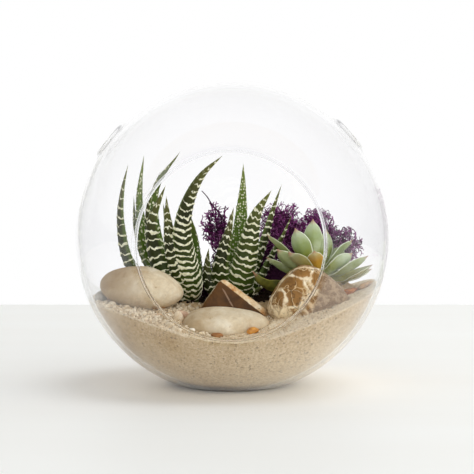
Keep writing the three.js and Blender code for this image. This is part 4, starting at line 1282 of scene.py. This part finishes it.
def moss(blockers):
    """Two tufts of dyed moss, each on stalks that stand in the soil."""
    look = moss_look()
    directions, faces = icosphere(4)
    lumps = 1 + 0.2 * fractal(directions * 2.3, 2, 5)
    for name, tufts in MOSS.items():
        gather = Gather()
        for tuft in tufts:
            starts, ends, thick, thin, spread = grow(tuft, blockers)
            tone = np.clip(0.5 + 0.35 * rng.standard_normal(len(starts)), 0, 1)
            # painted shade: the deeper a sprig lies in its tuft the darker it is, and low tufts are dark all
            # over
            deep = np.maximum(0.8 * smooth_step(0.8, 0.4, spread), tuft.get("deep", 0))
            tubes(gather, starts, ends, thick, thin, tone, deep)
            if "core" in tuft:
                # a solid core for the tuft's dense middle, coloured dark as painted shade
                heart = directions * lumps[:, None] * np.array(tuft["half"]) * tuft["core"] + tuft["at"]
                gather.add(heart, triangles=faces, tone=0.3, deep=0.8)
        for tuft, foot in zip(tufts if name == "moss_right" else tufts[1:], FEET[name]):
            leg = np.linspace(0, 1, 14)[:, None]
            path = np.array(foot) * (1 - leg) + np.array(tuft["at"]) * leg
            path[1:-1] += 0.7 * rng.standard_normal((12, 3))
            # the stalks, with a painted shade of 0.6
            strand(gather, path, np.linspace(2.2, 0.8, 14), 0.3, 0.6, 8)
        if name == "moss_left":
            line, _ = spine_points(TWIG, 8)
            # the bare twig, with a painted shade of 0.6
            strand(gather, line, np.linspace(0.3, 0.5, len(line)), 0.1, 0.6, 6)
        show(gather.mesh("tuft_" + name, closed=False), look, name, "dyed_moss", flat=True)


# ---------- the setting ----------


def floor():
    """A pale table top with a rounded far edge."""
    look = Look("table_top", Roughness=0.5, Specular_IOR_Level=0.25)
    cloudy = look.noise(160, 3, 0.5, stretch=(0.3, 2, 1))
    flat = TABLE_FAR - TABLE_BEND
    line = [(-3000.0, 0.0), (-1200, 0), (-400, 0), (0, 0), (250, 0), (flat, 0)]
    for a in np.linspace(0.15, 1.5, 10):
        line.append((flat + TABLE_BEND * math.sin(a), -TABLE_BEND + TABLE_BEND * math.cos(a)))
    line.append((TABLE_FAR, -60.0))
    across = np.linspace(-2500, 2500, 9)
    gather = Gather()
    points = [[x, y, z - CENTRE_HEIGHT] for y, z in line for x in across]
    gather.add(points, grid_faces(len(line), len(across), closed=False))
    mesh = gather.mesh("table_top", closed=False)
    mesh.materials.append(look.done(look.ramp(cloudy, (0.3, "fafaf6"), (0.7, "fdfefb"))))
    mesh.shade_smooth()
    linked("table_top", mesh)


def lamp(name, at, toward, size, power):
    light = bpy.data.lights.new(name, "AREA")
    light.shape, light.size, light.energy = "DISK", size, power
    holder = linked(name, light)
    holder.location = at
    holder.rotation_euler = (Vector(toward) - Vector(at)).to_track_quat("-Z", "Y").to_euler()
    holder.visible_camera = holder.visible_glossy = holder.visible_transmission = False


def studio():
    """A white surround, brighter to the eye and in the glass than as light, greyer at its sides, and two
    soft lamps."""
    world = bpy.data.worlds.new("studio")
    tree = Tree(world)

    def maths(operation, *given):
        return tree.maths(operation, *given, clamp=False)

    def eased(value, *limits):
        return tree.node("MapRange", (value, *limits))[0]

    path = tree.node("LightPath")
    way = tree.node("SeparateXYZ", [tree.node("TexCoord")["Generated"]])
    aside, up = maths("ABSOLUTE", way["X"]), maths("ABSOLUTE", way["Z"])
    sideways = eased(way["X"], -1.0, 1.0, FROM_LEFT, FROM_RIGHT)
    light = maths("MULTIPLY", eased(up, 0.0, 1.0, AMBIENT_LOW, AMBIENT_HIGH), sideways)
    in_glass = maths("MAXIMUM", path["Is Transmission Ray"], path["Is Glossy Ray"])
    around = eased(aside, 0.3, 1.0, BRIGHT_MIDDLE, GREY_SIDES)
    seen = maths("MULTIPLY", around, eased(up, 0.35, 1.0, 1.0, GREY_TOP))
    level = eased(path["Is Camera Ray"], 0.0, 1.0, eased(in_glass, 0.0, 1.0, light, seen), 1.0)
    background = tree.nodes["Background"]
    tree.set(background.inputs["Color"], (1, 1, 1, 1))
    tree.set(background.inputs["Strength"], level)
    bpy.context.scene.world = world
    lamp("key", (0.5, 0.1, 1.15), (0, 0, 0.05), 0.9, 4.5)
    lamp("front", (0.75, -1.05, 0.6), (0, 0, 0.06), 0.9, 1.5)
    bpy.context.scene.view_settings.view_transform = "Standard"


def camera():
    """The photograph's view of the globe's centre."""
    data = bpy.data.cameras.new("view")
    data.sensor_width = 36.0
    data.lens = FOCAL_LENGTH * 36 / PHOTO_SIDE
    data.shift_x, data.shift_y = (shift / PHOTO_SIDE for shift in PHOTO_SHIFT)
    data.clip_start, data.clip_end = 0.05, 20
    holder = linked("view", data)
    up = math.radians(CAMERA_UP)
    holder.location = (0, -CAMERA_AWAY * math.cos(up), CENTRE_HEIGHT / 1000 + CAMERA_AWAY * math.sin(up))
    holder.rotation_euler = (math.pi / 2 - up, 0, 0)
    bpy.context.scene.camera = holder


camera()
studio()
floor()
stone_tree = stone_trees({**STONES, **PEBBLES})
glass_globe()
sand_bed(stone_tree)
sand_grains(stone_tree)
soil_bed(stone_tree)
stones()
banded = (banded_leaf, haworthia_look(), "banded_leaf", 6, 6.5)
pale = (spoon_leaf, echeveria_look(), "pale_leaf", 4, 9)
moss([
    plant("banded_plant_left", "haworthia_left", HAWORTHIA_LEFT, *banded),
    plant("banded_plant_right", "haworthia_right", HAWORTHIA_RIGHT, *banded),
    plant("pale_rosette", "echeveria", ECHEVERIA, *pale),
])
